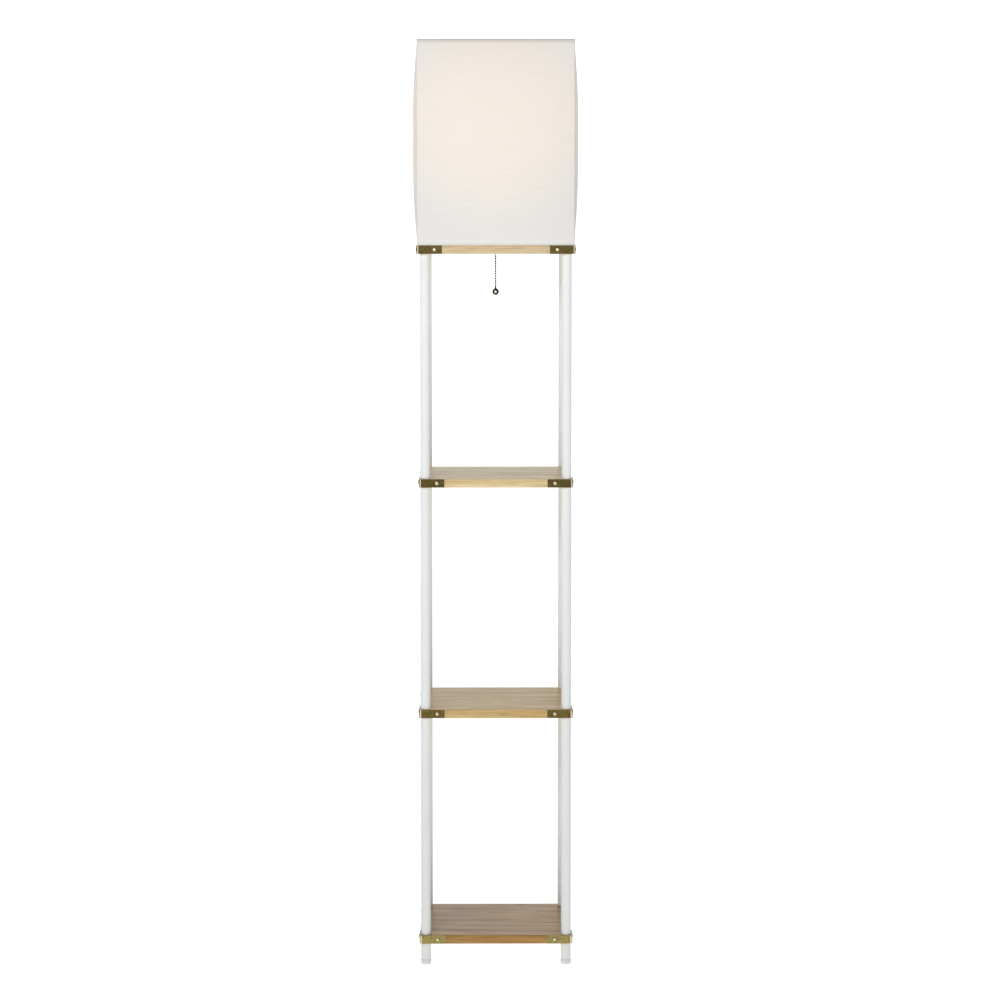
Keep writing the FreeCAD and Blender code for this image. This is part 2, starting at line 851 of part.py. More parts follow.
def along_y(name, radius, start, length, level):
    """A thin rod that runs back from a start on the middle plane."""
    rod = prism(name, BEAD_SIDES, radius, length)
    return place(rod, y=start, z=level, turn=((1, 0, 0), -90))


riser_outline = ring_outline("riser_radius - riser_wall", "riser_radius", "0", "riser_height")
riser_blank = turning("riser_blank", TURNED_SIDES, riser_outline, z=PLATE_TOP)
LEAD_HOLE = "lead_radius + lead_clearance"
lead_hole = along_y("lead_hole", LEAD_HOLE, "-riser_radius - riser_wall", "riser_radius", LEAD_LEVEL)
keep("riser_tube", cut("riser_drilled", riser_blank, [lead_hole]))

PIPE_FOOT = f"({TOP_BOARD} + pipe_end_gap)"
PIPE_LENGTH = f"({SOCKET} + pipe_thread_in_socket - {PIPE_FOOT})"
pipe_outline = ring_outline("pipe_bore", "pipe_radius", "0", PIPE_LENGTH)
keep("threaded_pipe", turning("pipe", HOLE_SIDES, pipe_outline, z=PIPE_FOOT))

WASHER_LEVEL = f"({RECESS} - washer_thickness)"
washer = cut(
    "washer_holed",
    box("washer_blank", "washer_side", "washer_side", "washer_thickness", z=WASHER_LEVEL),
    [prism("washer_hole", HOLE_SIDES, PIPE_HOLE, "washer_thickness", z=WASHER_LEVEL)],
)
keep("pipe_washer", washer)


def nut(name, flats, bore, height, y, z):
    """A hexagon nut whose bore clears the thread that it runs on."""
    blank = prism(f"{name}_blank", 6, f"{flats}/sqrt(3)", height, y=y, z=z)
    return cut(f"{name}_bored", blank, [prism(f"{name}_bore", HOLE_SIDES, bore, height, y=y, z=z)])


NUT_LEVEL = f"({WASHER_LEVEL} - nut_height)"
keep("pipe_nut", nut("pipe_nut", "nut_flats", PIPE_HOLE, "nut_height", 0, NUT_LEVEL))

lamp_leads = []
for sign in ("", "-"):
    lead = prism(
        f"lead_{len(lamp_leads)}",
        THREAD_SIDES,
        "wire_lead_radius",
        f"{SOCKET} + socket_floor - bore_spare - {PIPE_FOOT}",
        x=f"{sign}wire_lead_spacing/2",
        z=PIPE_FOOT,
    )
    lamp_leads.append(lead)
lead_pair = doc.addObject("Part::Compound", "lead_pair")
lead_pair.Links = lamp_leads
keep("lamp_leads", lead_pair)

# ---------------------------------------------------------------- lampholder

SHELL_RADIUS = "(bulb_thread_radius + bulb_thread_clearance)"
SHELL_OUTSIDE = f"({SHELL_RADIUS} + shell_wall)"
SHELL_TOP = "(socket_height - shell_inset)"
SOCKET_BORE = f"({SHELL_OUTSIDE} + shell_clearance)"
SOCKET_RADIUS = f"({SOCKET_BORE} + socket_wall)"
socket_outline = [
    (PIPE_HOLE, "0"),
    ("socket_neck_radius", "0"),
    ("socket_neck_radius", "socket_neck_height"),
    (SOCKET_RADIUS, "socket_neck_height + socket_shoulder"),
    (SOCKET_RADIUS, "socket_height"),
    (SOCKET_BORE, "socket_height"),
    (SOCKET_BORE, "socket_floor"),
    (PIPE_HOLE, "socket_floor"),
]
keep("socket_body", turning("socket", TURNED_SIDES, socket_outline, z=SOCKET))

shell_outline = [
    ("shell_opening", "socket_floor"),
    (SHELL_OUTSIDE, "socket_floor"),
    (SHELL_OUTSIDE, SHELL_TOP),
    (SHELL_RADIUS, SHELL_TOP),
    (SHELL_RADIUS, "socket_floor + shell_floor"),
    ("shell_opening", "socket_floor + shell_floor"),
]
keep("socket_screw_shell", turning("screw_shell", TURNED_SIDES, shell_outline, z=SOCKET))

FLOOR = f"({SOCKET} + socket_floor)"
contact = fuse(
    "centre_contact",
    [
        box("contact_spring", "contact_length", "contact_width", "contact_strip", z=FLOOR),
        box("contact_button", "contact_width", "contact_width", "contact_height", z=FLOOR),
    ],
)
keep("socket_contact", contact)

# ---------------------------------------------------------------- bulb

BULB = f"({FLOOR} + contact_height + contact_gap)"
GLOBE_CENTRE = "(bulb_length - bulb_globe_radius)"
CAP_TOP = "(bulb_tip_height + bulb_cap_height)"
GLOBE_SEAM = -25.0  # latitude at which the globe meets the housing, in degrees
tip_outline = [
    ("0", "0"),
    ("bulb_tip_radius", "0"),
    ("bulb_thread_radius - 2.5", "bulb_tip_height"),
    ("0", "bulb_tip_height"),
]
keep("bulb_contact", turning("bulb_tip", TURNED_SIDES, tip_outline, z=BULB))

cap_outline = [
    ("0", "bulb_tip_height"),
    ("bulb_thread_radius - 1", "bulb_tip_height"),
    ("bulb_thread_radius", "bulb_tip_height + 2"),
    ("bulb_thread_radius", CAP_TOP),
    ("0", CAP_TOP),
]
keep("bulb_cap", turning("bulb_screw_cap", TURNED_SIDES, cap_outline, z=BULB))


def globe_point(latitude):
    """A point of the globe's profile at a latitude in degrees."""
    return (
        f"bulb_globe_radius*{math.cos(math.radians(latitude)):.6f}",
        f"{GLOBE_CENTRE} + bulb_globe_radius*{math.sin(math.radians(latitude)):.6f}",
    )


seam_radius, seam_height = globe_point(GLOBE_SEAM)
housing_outline = [
    ("0", CAP_TOP),
    ("bulb_thread_radius", CAP_TOP),
    ("bulb_thread_radius + bulb_neck_flare", f"{CAP_TOP} + bulb_neck_height"),
    (seam_radius, seam_height),
    ("0", seam_height),
]
keep("bulb_housing", turning("bulb_base", TURNED_SIDES, housing_outline, z=BULB))

globe_outline = [("0", seam_height), (seam_radius, seam_height)]
globe_outline += [globe_point(latitude) for latitude in (0, 25, 48, 70)]
globe_outline += [("0", "bulb_length")]
keep("bulb_globe", turning("bulb_envelope", TURNED_SIDES, globe_outline, z=BULB))

# ---------------------------------------------------------------- pull-chain switch

NIPPLE_FOOT = f"({TOP_BOARD} + nipple_end_gap)"
NIPPLE_BORE_LENGTH = f"({TOP} + switch_floor - {NIPPLE_FOOT})"
switch_inner_width = "(switch_width - 2*switch_wall)"
switch_inner_depth = "(switch_depth - 2*switch_wall)"
housing = cut(
    "switch_hollow",
    fuse(
        "switch_blank",
        [
            box("switch_case", "switch_width", "switch_depth", "switch_height", 0, SWITCH_Y, TOP),
            prism(
                "switch_nipple",
                HOLE_SIDES,
                "nipple_radius",
                f"{TOP} - {NIPPLE_FOOT}",
                0,
                SWITCH_Y,
                NIPPLE_FOOT,
            ),
        ],
    ),
    [
        box(
            "switch_cavity",
            switch_inner_width,
            switch_inner_depth,
            "switch_height - switch_floor",
            0,
            SWITCH_Y,
            f"{TOP} + switch_floor",
        ),
        prism(
            "nipple_hole_through",
            BEAD_SIDES,
            "nipple_bore",
            NIPPLE_BORE_LENGTH,
            0,
            SWITCH_Y,
            NIPPLE_FOOT,
        ),
    ],
)
keep("switch_housing", housing)

cover = box(
    "switch_lid",
    "switch_width",
    "switch_depth",
    "switch_wall",
    0,
    SWITCH_Y,
    f"{TOP} + switch_height",
)
keep("switch_cover", cover)

SWITCH_NUT_LEVEL = f"({TOP_BOARD} + {SWITCH_DEPTH} - switch_nut_height)"
switch_nut = nut(
    "switch_nut",
    "switch_nut_flats",
    "nipple_radius + pipe_clearance",
    "switch_nut_height",
    SWITCH_Y,
    SWITCH_NUT_LEVEL,
)
keep("switch_nut", switch_nut)

FIRST_BEAD = f"({TOP_BOARD} - first_bead_drop)"
EYE_LEVEL = f"({FIRST_BEAD} + bead_pitch*({LEVER_BEADS} - 0.5))"
PIVOT_LEVEL = f"({EYE_LEVEL} - lever_arm*sin(lever_tilt * 1 deg))"
PIVOT_Y = f"({SWITCH_Y} - lever_arm*(1 + cos(lever_tilt * 1 deg))/2)"
EYE_REACH = "(lever_arm + lever_hub_radius)"


def across(radius, length):
    """A rod of flats along X, centred on the middle plane."""
    rod = turned(HOLE_SIDES, ring_outline("0", radius, f"-{length}/2", f"{length}/2"))
    rod.rotate(Vector(), Vector(0, 1, 0), 90)
    return rod


def lever():
    """A stamped lever tilted up to the chain, with a rolled hub round the pin."""
    width = value("lever_width")
    thickness = value("lever_plate")
    arm = Part.makeBox(
        width, value(EYE_REACH), thickness, Vector(-width / 2, 0, -thickness / 2)
    )
    hub = across("lever_hub_radius", "lever_width")
    bore = across("(pin_radius + pin_clearance)", "lever_width")
    eye = turned(BEAD_SIDES, ring_outline("0", "lever_eye_radius", "-lever_plate", "lever_plate"))
    eye.translate(Vector(0, value("lever_arm"), 0))
    item = shaped("lever_stamping", arm.fuse(hub).cut(bore).cut(eye))
    return place(item, 0, PIVOT_Y, PIVOT_LEVEL, turn=((1, 0, 0), value("lever_tilt")))


keep("switch_lever", lever())

PIN_LENGTH = f"({switch_inner_width} - pin_clearance)"
pin = shaped("lever_pivot", across("pin_radius", PIN_LENGTH))
keep("lever_pin", place(pin, 0, PIVOT_Y, PIVOT_LEVEL))

blades = []
for side in ("", "-"):
    blade = box(
        f"contact_blade_{len(blades)}",
        "contact_blade",
        "contact_blade_depth",
        "contact_blade_height",
        f"{side}({switch_inner_width} - contact_blade)/2",
        f"{SWITCH_Y} + contact_blade_depth/2",
        f"{TOP} + switch_floor",
    )
    blades.append(blade)
blade_pair = doc.addObject("Part::Compound", "blade_pair")
blade_pair.Links = blades
keep("switch_contacts", blade_pair)

SWITCH_BACK = f"({SWITCH_Y} + switch_depth/2)"
LEAD_LENGTH = f"(-riser_radius + riser_wall - {SWITCH_BACK})"
keep("switch_lead", along_y("lead_sheath", "lead_radius", SWITCH_BACK, LEAD_LENGTH, LEAD_LEVEL))

# ---------------------------------------------------------------- bead chain and ball

BEAD_BANDS = 3
CLEAR_OF_BEAD = "(bead_radius + joint_gap)"


def bead_level(number):
    """Height of a bead's centre; beads are numbered down from the first below the board."""
    return f"({FIRST_BEAD} - bead_pitch*{number})"


def bead_bands(number):
    """The outline of a bead from its lower link to its upper one."""
    radius = value("bead_radius")
    limit = math.acos(value("link_radius") / radius)
    centre = value(bead_level(number))
    latitudes = [limit * (2 * band / BEAD_BANDS - 1) for band in range(BEAD_BANDS + 1)]
    return [(radius * math.cos(a), centre + radius * math.sin(a)) for a in latitudes]


def chain_run(name, beads, top=None, bottom=None):
    """Beads on their wire, which may run on above the first and below the last."""
    outline = []
    for number in reversed(beads):
        outline += bead_bands(number)
    if bottom is not None:
        outline = [("link_radius", bottom)] + outline
    if top is not None:
        outline = outline + [("link_radius", top)]
    outline = [(0, outline[0][1])] + outline + [(0, outline[-1][1])]
    return turning(name, BEAD_SIDES, outline, y=SWITCH_Y)


# The chain flexes at two of its beads, so it is made in three runs that meet there.
in_switch = range(-LEVER_BEADS, 1)
middle = range(1, SWING_BEAD + 1)
lower = range(SWING_BEAD + 1, HANGING_BEADS)
CONNECTOR_TOP = f"({bead_level(HANGING_BEADS - 1)} - {CLEAR_OF_BEAD})"
MIDDLE_TOP = f"{bead_level(0)} - {CLEAR_OF_BEAD}"
LOWER_TOP = f"{bead_level(SWING_BEAD)} - {CLEAR_OF_BEAD}"
keep("chain_in_switch", chain_run("upper_chain", in_switch))
keep("chain_middle", chain_run("middle_chain", middle, top=MIDDLE_TOP))
keep("chain_lower", chain_run("lower_chain", lower, top=LOWER_TOP, bottom=CONNECTOR_TOP))

CONNECTOR_FOOT = f"({CONNECTOR_TOP} - connector_height)"
connector_outline = [
    ("0", "0"),
    ("connector_radius", "0"),
    ("connector_radius", "connector_height/2"),
    ("connector_top_radius", "connector_height"),
    ("0", "connector_height"),
]
connector = turning("bell", DOME_SIDES, connector_outline, y=SWITCH_Y, z=CONNECTOR_FOOT)
keep("chain_connector", connector)


def ball_outline():
    """The ball about its own centre, drilled at the top for the connector."""
    radius = value("ball_radius")
    seat = value("connector_radius + thread_clearance")
    floor = radius - value("ball_socket_depth")
    rim = math.acos(seat / radius)
    latitudes = [-math.pi / 2 + step * (rim + math.pi / 2) / 7 for step in range(8)]
    skin = [(radius * math.cos(a), radius * math.sin(a)) for a in latitudes[1:]]
    return [(0, -radius)] + skin + [(seat, floor), (0, floor)]


BALL_CENTRE = f"({CONNECTOR_FOOT} - ball_radius + ball_socket_depth)"
keep("chain_ball", turning("pull_ball", HOLE_SIDES, ball_outline(), y=SWITCH_Y, z=BALL_CENTRE))

# ---------------------------------------------------------------- check and write

doc.recompute()
for item in doc.Objects:
    if "Invalid" in item.State or "Error" in item.State:
        raise ValueError(f"{item.Label} failed: {item.State}")
for name, item in parts.items():
    if item.Shape.isNull() or not item.Shape.isValid():
        raise ValueError(f"{name} has no valid shape")

os.makedirs("parts", exist_ok=True)
for name, item in parts.items():
    item.Shape.exportStep(f"parts/{name}.step")
print(f"{len(parts)} sub-parts, {sum(len(item.Shape.Solids) for item in parts.values())} solids")
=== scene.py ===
"""Looks for the shelf floor lamp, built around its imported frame.

Metres.  The origin is on the floor under the middle, +Z is up and the front faces -Y.
"""

import logging
import math
from collections.abc import Callable, Iterator, Mapping, Sequence
from contextlib import contextmanager
from dataclasses import dataclass
from enum import Enum

import bmesh
import bpy
from bpy.types import ID, Material, Node, NodeSocket, NodeTree, Object
from mathutils import Matrix, Vector


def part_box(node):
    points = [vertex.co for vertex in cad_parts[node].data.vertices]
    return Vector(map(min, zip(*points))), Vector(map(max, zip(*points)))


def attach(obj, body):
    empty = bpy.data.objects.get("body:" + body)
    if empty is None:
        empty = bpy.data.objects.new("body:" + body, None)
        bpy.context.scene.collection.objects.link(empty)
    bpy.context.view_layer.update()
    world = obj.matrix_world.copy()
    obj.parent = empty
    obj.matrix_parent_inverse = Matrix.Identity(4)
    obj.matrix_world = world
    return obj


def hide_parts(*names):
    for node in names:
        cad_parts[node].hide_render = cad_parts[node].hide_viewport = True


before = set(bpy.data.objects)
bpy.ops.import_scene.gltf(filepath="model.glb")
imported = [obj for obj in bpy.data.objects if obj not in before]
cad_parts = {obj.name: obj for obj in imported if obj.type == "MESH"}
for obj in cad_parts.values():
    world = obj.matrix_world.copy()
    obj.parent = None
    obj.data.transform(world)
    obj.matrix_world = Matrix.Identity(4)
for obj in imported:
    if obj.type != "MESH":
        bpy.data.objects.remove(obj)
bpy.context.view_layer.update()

log = logging.getLogger("shelf_lamp")
MM = 0.001
QUARTER = math.radians(90)
WHITE = (1.0, 1.0, 1.0, 1.0)
# Faces that meet at less than this angle are shaded as one.
SMOOTH = math.radians(32)
# Corners closer than this are one corner.
MERGE = 0.002 * MM
# An edge whose direction has at least this much of Z stands upright.
UPRIGHT = 0.9
# Which way from the middle each corner lies, in X and Y.
CORNERS = {
    "front_left": (-1, -1),
    "front_right": (1, -1),
    "back_right": (1, 1),
    "back_left": (-1, 1),
}

Outline = list[tuple[float, float]]
Feed = float | Sequence[float] | Node | NodeSocket


class Body(Enum):
    """The bodies that pieces ride on."""

    STAND = "stand"
    PULL = "pull_chain"
    LEVER = "lever"
    SWING = "chain_upper_swing"
    TAIL = "chain_tail"
    TIP = "bulb_tip"
    BULB = "bulb"


# ---------------------------------------------------------------- nodes


def linear(code: str) -> tuple[float, float, float, float]:
    """Turn an sRGB hex colour to linear light.

    Args:
        code: six hex digits after a #.

    Returns:
        Red, green, blue and alpha for a shader socket.
    """
    tones = [int(code[i : i + 2], 16) / 255 for i in (1, 3, 5)]
    light = [t / 12.92 if t <= 0.04045 else ((t + 0.055) / 1.055) ** 2.4 for t in tones]
    return (*light, 1.0)


def feed(node: Node, *inputs: Feed, **named: Feed) -> Node:
    """Set or link a node's inputs, of those that its settings leave in use.

    Args:
        node: the node.
        inputs: what its sockets get from the first one on: a constant that is set, a socket
            that is linked, or a node, which stands for its first output.
        named: the same for sockets by their name, with _ for a space.

    Returns:
        The same node.
    """
    live = [socket for socket in node.inputs if socket.enabled]
    by_name = {socket.name.replace(" ", "_"): socket for socket in live}
    pairs = [*zip(live, inputs), *((by_name[key], value) for key, value in named.items())]
    for socket, value in pairs:
        if isinstance(value, Node):
            value = next(output for output in value.outputs if output.enabled)
        if isinstance(value, NodeSocket):
            node.id_data.links.new(value, socket)
        else:
            socket.default_value = value
    return node


def add_node(
    tree: NodeTree,
    kind: str,
    *inputs: Feed,
    stops: Sequence[tuple[float, str]] = (),
    **named: object,
) -> Node:
    """Add a node with its settings, links and constants.

    Args:
        tree: the node tree that gets it.
        kind: the node's type, without its ShaderNode.
        inputs: what feed() takes.
        stops: a colour ramp's places and hex colours.
        named: what feed() takes by name; in lower case, the node's own properties.

    Returns:
        The new node.
    """
    made = tree.nodes.new("ShaderNode" + kind)
    for name in filter(str.islower, named):
        setattr(made, name, named[name])
    for number, (place, code) in enumerate(stops):
        if number >= len(made.color_ramp.elements):
            made.color_ramp.elements.new(place)
        made.color_ramp.elements[number].position = place
        made.color_ramp.elements[number].color = linear(code)
    return feed(made, *inputs, **{key: named[key] for key in named if not key.islower()})


def begin(name: str) -> tuple[Material, NodeTree, Node, Node]:
    """Start a material.

    Args:
        name: the finish in a maker's words.

    Returns:
        The material, its tree, its shader and its texture coordinates.
    """
    material = bpy.data.materials.new(name)
    material.use_nodes = True
    tree = material.node_tree
    return material, tree, tree.nodes["Principled BSDF"], add_node(tree, "TexCoord")


# ---------------------------------------------------------------- finishes


@dataclass(frozen=True)
class OiledOak:
    """Oak boards planed along the grain and finished with a clear matt oil.

    Attributes:
        heart_mm: Y and Z of the tree's heart, which the growth rings lie round.
        drift: shifts the grain, so that no two boards share it.
        band_mm: a growth band's width.
        sway_mm: how far the bands wander.
    """

    name: str
    pale: str
    honey: str
    streak: str
    pore: str
    heart_mm: tuple[float, float] = (-45.0, 1165.0)
    drift: float = 0.0
    slot: str = "oak"
    band_mm: float = 5.5
    sway_mm: float = 14.0
    pore_mm: float = 0.9
    pore_depth_mm: float = 0.1

    def build(self) -> Material:
        """Lay out the grain, which runs left to right: growth bands, fine dark pores.

        Returns:
            The material.
        """
        material, tree, shader, place = begin(self.name)
        own = place.outputs["Object"]
        # The bands are growth rings round the tree's heart, which lay beside the board, so
        # they run straight along the top and the front and curve across the sawn ends.
        heart_y, heart_z = (level * MM for level in self.heart_mm)
        slow = add_node(tree, "Mapping", own, Location=(self.drift,) * 3, Scale=(1.8, 9.0, 9.0))
        sway = add_node(tree, "TexNoise", slow, Scale=1.0, Detail=1.0)
        section = add_node(
            tree, "Mapping", own, Location=(0.0, -heart_y, -heart_z), Scale=(0.0, 1.0, 1.0)
        )
        across = add_node(tree, "VectorMath", section, operation="LENGTH")
        ring = add_node(tree, "Math", sway, self.sway_mm * MM, across, operation="MULTIPLY_ADD")
        along = add_node(tree, "SeparateXYZ", own)
        # Bands 5 or 6 mm wide, drawn out over 400 mm of the board's length.
        stretched = add_node(
            tree,
            "Mapping",
            add_node(tree, "CombineXYZ", along, ring),
            Location=(self.drift, self.drift * 0.7, 0.0),
            Scale=(2.4, 1000 / self.band_mm / 2, 1.0),
        )
        bands = add_node(
            tree, "TexNoise", stretched, Scale=1.0, Detail=4.0, Roughness=0.55, Distortion=0.1
        )
        figure = add_node(
            tree,
            "ValToRGB",
            bands,
            stops=[
                (0.28, self.streak),
                (0.42, self.honey),
                (0.55, self.pale),
                (0.68, self.honey),
                (0.78, self.streak),
            ],
        )
        # Pores are dark dashes 0.3 mm wide on real oak: 0.9 mm is the finest that shows here.
        fine = 1000 / self.pore_mm / 2
        dashes = add_node(
            tree, "Mapping", own, Location=(self.drift, 0.0, 0.0), Scale=(18.0, fine, fine)
        )
        pores = add_node(tree, "TexNoise", dashes, Scale=1.0, Detail=2.0, Roughness=0.65)
        open_pore = add_node(tree, "MapRange", pores, From_Min=0.5, From_Max=0.72, To_Max=0.7)
        tone = add_node(tree, "Mix", open_pore, figure, linear(self.pore), data_type="RGBA")
        # The oil sinks into the pores, so they stay duller than the flats between them.
        gloss = add_node(tree, "MapRange", open_pore, From_Max=0.7, To_Min=0.4, To_Max=0.62)
        depth = self.pore_depth_mm * MM
        sunk = add_node(tree, "Bump", Height=open_pore, Distance=depth, Strength=0.6, invert=True)
        feed(shader, Base_Color=tone, Roughness=gloss, Normal=sunk, IOR=1.5)
        return material


@dataclass(frozen=True)
class SatinLacquer:
    """Lacquer or powder sprayed on steel: an even film with a fine orange peel."""

    name: str
    slot: str
    colour: str
    thin: str
    roughness: float
    peel_mm: float = 1.8
    sheen: float = 0.5
    peel_depth_mm: float = 0.02

    def build(self) -> Material:
        """Lay out an even satin film whose long highlight is softly broken.

        Returns:
            The material.
        """
        material, tree, shader, place = begin(self.name)
        own = place.outputs["Object"]
        # A hand's breadth of slightly thinner film here and there, a shade greyer and duller.
        cloud = add_node(tree, "TexNoise", own, Scale=11.0, Detail=2.0)
        tone = add_node(
            tree, "Mix", cloud, linear(self.colour), linear(self.thin), data_type="RGBA"
        )
        gloss = add_node(
            tree, "MapRange", cloud, To_Min=self.roughness - 0.05, To_Max=self.roughness + 0.07
        )
        peel = add_node(tree, "TexNoise", own, Scale=1000 / self.peel_mm, Detail=1.0)
        film = add_node(tree, "Bump", Height=peel, Distance=self.peel_depth_mm * MM, Strength=0.4)
        feed(shader, Base_Color=tone, Roughness=gloss, Normal=film)
        feed(shader, IOR=1.5, Specular_IOR_Level=self.sheen)
        return material


@dataclass(frozen=True)
class AntiqueBrass:
    """Brass darkened in a bath and rubbed back by hand.

    Attributes:
        bright: the colour where the cloth has rubbed.
        cloud_mm: the size of the patina's clouds.
        worn_mm: how near to an edge it is rubbed.
        worn: how much is rubbed off there, as a share.
        bend: how strong the painted highlight is in an upright line beside a strip's bend.
        crown: how strong the painted highlight is on a tack's crown.
        front_highlight: how strong the painted highlight is on the front of the ball.
        edge: the tint of what it mirrors at a glancing angle.
    """

    name: str
    dark: str
    olive: str
    bright: str = "#B5A366"
    roughness: float = 0.36
    cloud_mm: float = 4.0
    worn_mm: float = 0.7
    worn: float = 0.6
    bend: float = 0.0
    crown: float = 0.0
    front_highlight: float = 0.0
    edge: str = "#FFFFFF"
    slot: str = "antique_brass"
    # The colour of the painted highlights.
    highlight_colour: str = "#F4EBCF"

    def build(self) -> Material:
        """Lay out a cloudy dark patina, rubbed bright along edges, with painted highlights.

        Returns:
            The material.
        """
        material, tree, shader, place = begin(self.name)
        own = place.outputs["Object"]
        cloud = add_node(
            tree, "TexNoise", own, Scale=1000 / self.cloud_mm, Detail=4.0, Roughness=0.62
        )
        patina = add_node(tree, "ValToRGB", cloud, stops=[(0.34, self.dark), (0.62, self.olive)])
        # Where the surface turns within 0.7 mm, the cloth that rubbed it took the patina off.
        shape = add_node(tree, "NewGeometry").outputs["Normal"]
        rounded = add_node(tree, "Bevel", Radius=self.worn_mm * MM, samples=4)
        turning = add_node(tree, "VectorMath", shape, rounded, operation="DOT_PRODUCT")
        rub = add_node(tree, "MapRange", turning, From_Min=0.985, From_Max=0.9, To_Max=self.worn)
        tone = add_node(tree, "Mix", rub, patina, linear(self.bright), data_type="RGBA")
        # Painted highlights, in a pale metal colour: on the crown of a tack, on the front of
        # the ball, and in an upright line on the front side of a strip's bend.
        facing = add_node(tree, "SeparateXYZ", place.outputs["Normal"])
        sideways, ahead = (
            add_node(tree, "Math", facing.outputs[axis], operation="ABSOLUTE") for axis in "XY"
        )
        slant = add_node(tree, "Math", sideways, ahead, operation="MULTIPLY")
        lead = add_node(tree, "Math", ahead, sideways, operation="SUBTRACT")
        squarely = add_node(tree, "Math", ahead, sideways, operation="MAXIMUM")
        crown = add_node(
            tree, "MapRange", squarely, From_Min=0.9, From_Max=0.985, To_Max=self.crown
        )
        front = facing.outputs["Y"]
        front_highlight = add_node(tree, "MapRange", front, From_Min=-0.86, From_Max=-0.96, To_Max=self.front_highlight)
        beside = add_node(tree, "MapRange", slant, From_Min=0.16, From_Max=0.3)
        before = add_node(tree, "MapRange", lead, From_Min=0.02, From_Max=0.2, To_Max=self.bend)
        line = add_node(tree, "Math", beside, before, operation="MULTIPLY")
        for mask in (crown, front_highlight, line):
            tone = add_node(tree, "Mix", mask, tone, linear(self.highlight_colour), data_type="RGBA")
        gloss = add_node(
            tree, "MapRange", cloud, To_Min=self.roughness + 0.08, To_Max=self.roughness - 0.08
        )
        # Shallow marks of the rolls and of the rubbing, half a millimetre apart.
        rolling = add_node(tree, "Mapping", own, Scale=(120.0, 120.0, 2000.0))
        marks = add_node(tree, "TexNoise", rolling, Scale=1.0, Detail=2.0)
        rolled = add_node(tree, "Bump", Height=marks, Distance=0.03 * MM, Strength=0.4)
        feed(shader, Base_Color=tone, Roughness=gloss, Normal=rolled)
        feed(shader, Metallic=1.0, Specular_Tint=linear(self.edge))
        return material


@dataclass(frozen=True)
class PlainMetal:
    """Plated, spun or stamped metal that keeps its working marks."""

    name: str
    slot: str
    colour: str
    dull: str
    roughness: float
    marks_per_metre: tuple[float, float, float]
    depth_mm: float = 0.015

    def build(self) -> Material:
        """Lay out clean metal whose highlight is stretched by its fine marks.

        Returns:
            The material.
        """
        material, tree, shader, place = begin(self.name)
        worked = add_node(tree, "Mapping", place.outputs["Object"], Scale=self.marks_per_metre)
        marks = add_node(tree, "TexNoise", worked, Scale=1.0, Detail=3.0)
        tone = add_node(
            tree, "Mix", marks, linear(self.colour), linear(self.dull), data_type="RGBA"
        )
        gloss = add_node(
            tree, "MapRange", marks, To_Min=self.roughness - 0.08, To_Max=self.roughness + 0.12
        )
        cut = add_node(tree, "Bump", Height=marks, Distance=self.depth_mm * MM, Strength=0.5)
        feed(shader, Base_Color=tone, Metallic=1.0, Roughness=gloss, Normal=cut)
        return material


@dataclass(frozen=True)
class MouldedPlastic:
    """Moulded or extruded plastic with the fine spark grain of its steel tool."""

    name: str
    slot: str
    colour: str
    shade: str
    roughness: float
    glow: str = "#FFFFFF"
    glow_strength: float = 0.0
    grain_mm: float = 0.7

    def build(self) -> Material:
        """Lay out an even colour and a softly broken highlight, with any light from within.

        Returns:
            The material.
        """
        material, tree, shader, place = begin(self.name)
        own = place.outputs["Object"]
        grain = add_node(tree, "TexNoise", own, Scale=1000 / self.grain_mm, Detail=2.0)
        flow = add_node(tree, "TexNoise", own, Scale=60.0, Detail=2.0)
        tone = add_node(
            tree, "Mix", flow, linear(self.colour), linear(self.shade), data_type="RGBA"
        )
        gloss = add_node(
            tree, "MapRange", grain, To_Min=self.roughness - 0.06, To_Max=self.roughness + 0.08
        )
        spark = add_node(tree, "Bump", Height=grain, Distance=0.02 * MM, Strength=0.4)
        feed(shader, Base_Color=tone, Roughness=gloss, Normal=spark, IOR=1.5)
        feed(shader, Emission_Color=linear(self.glow), Emission_Strength=self.glow_strength)
        return material


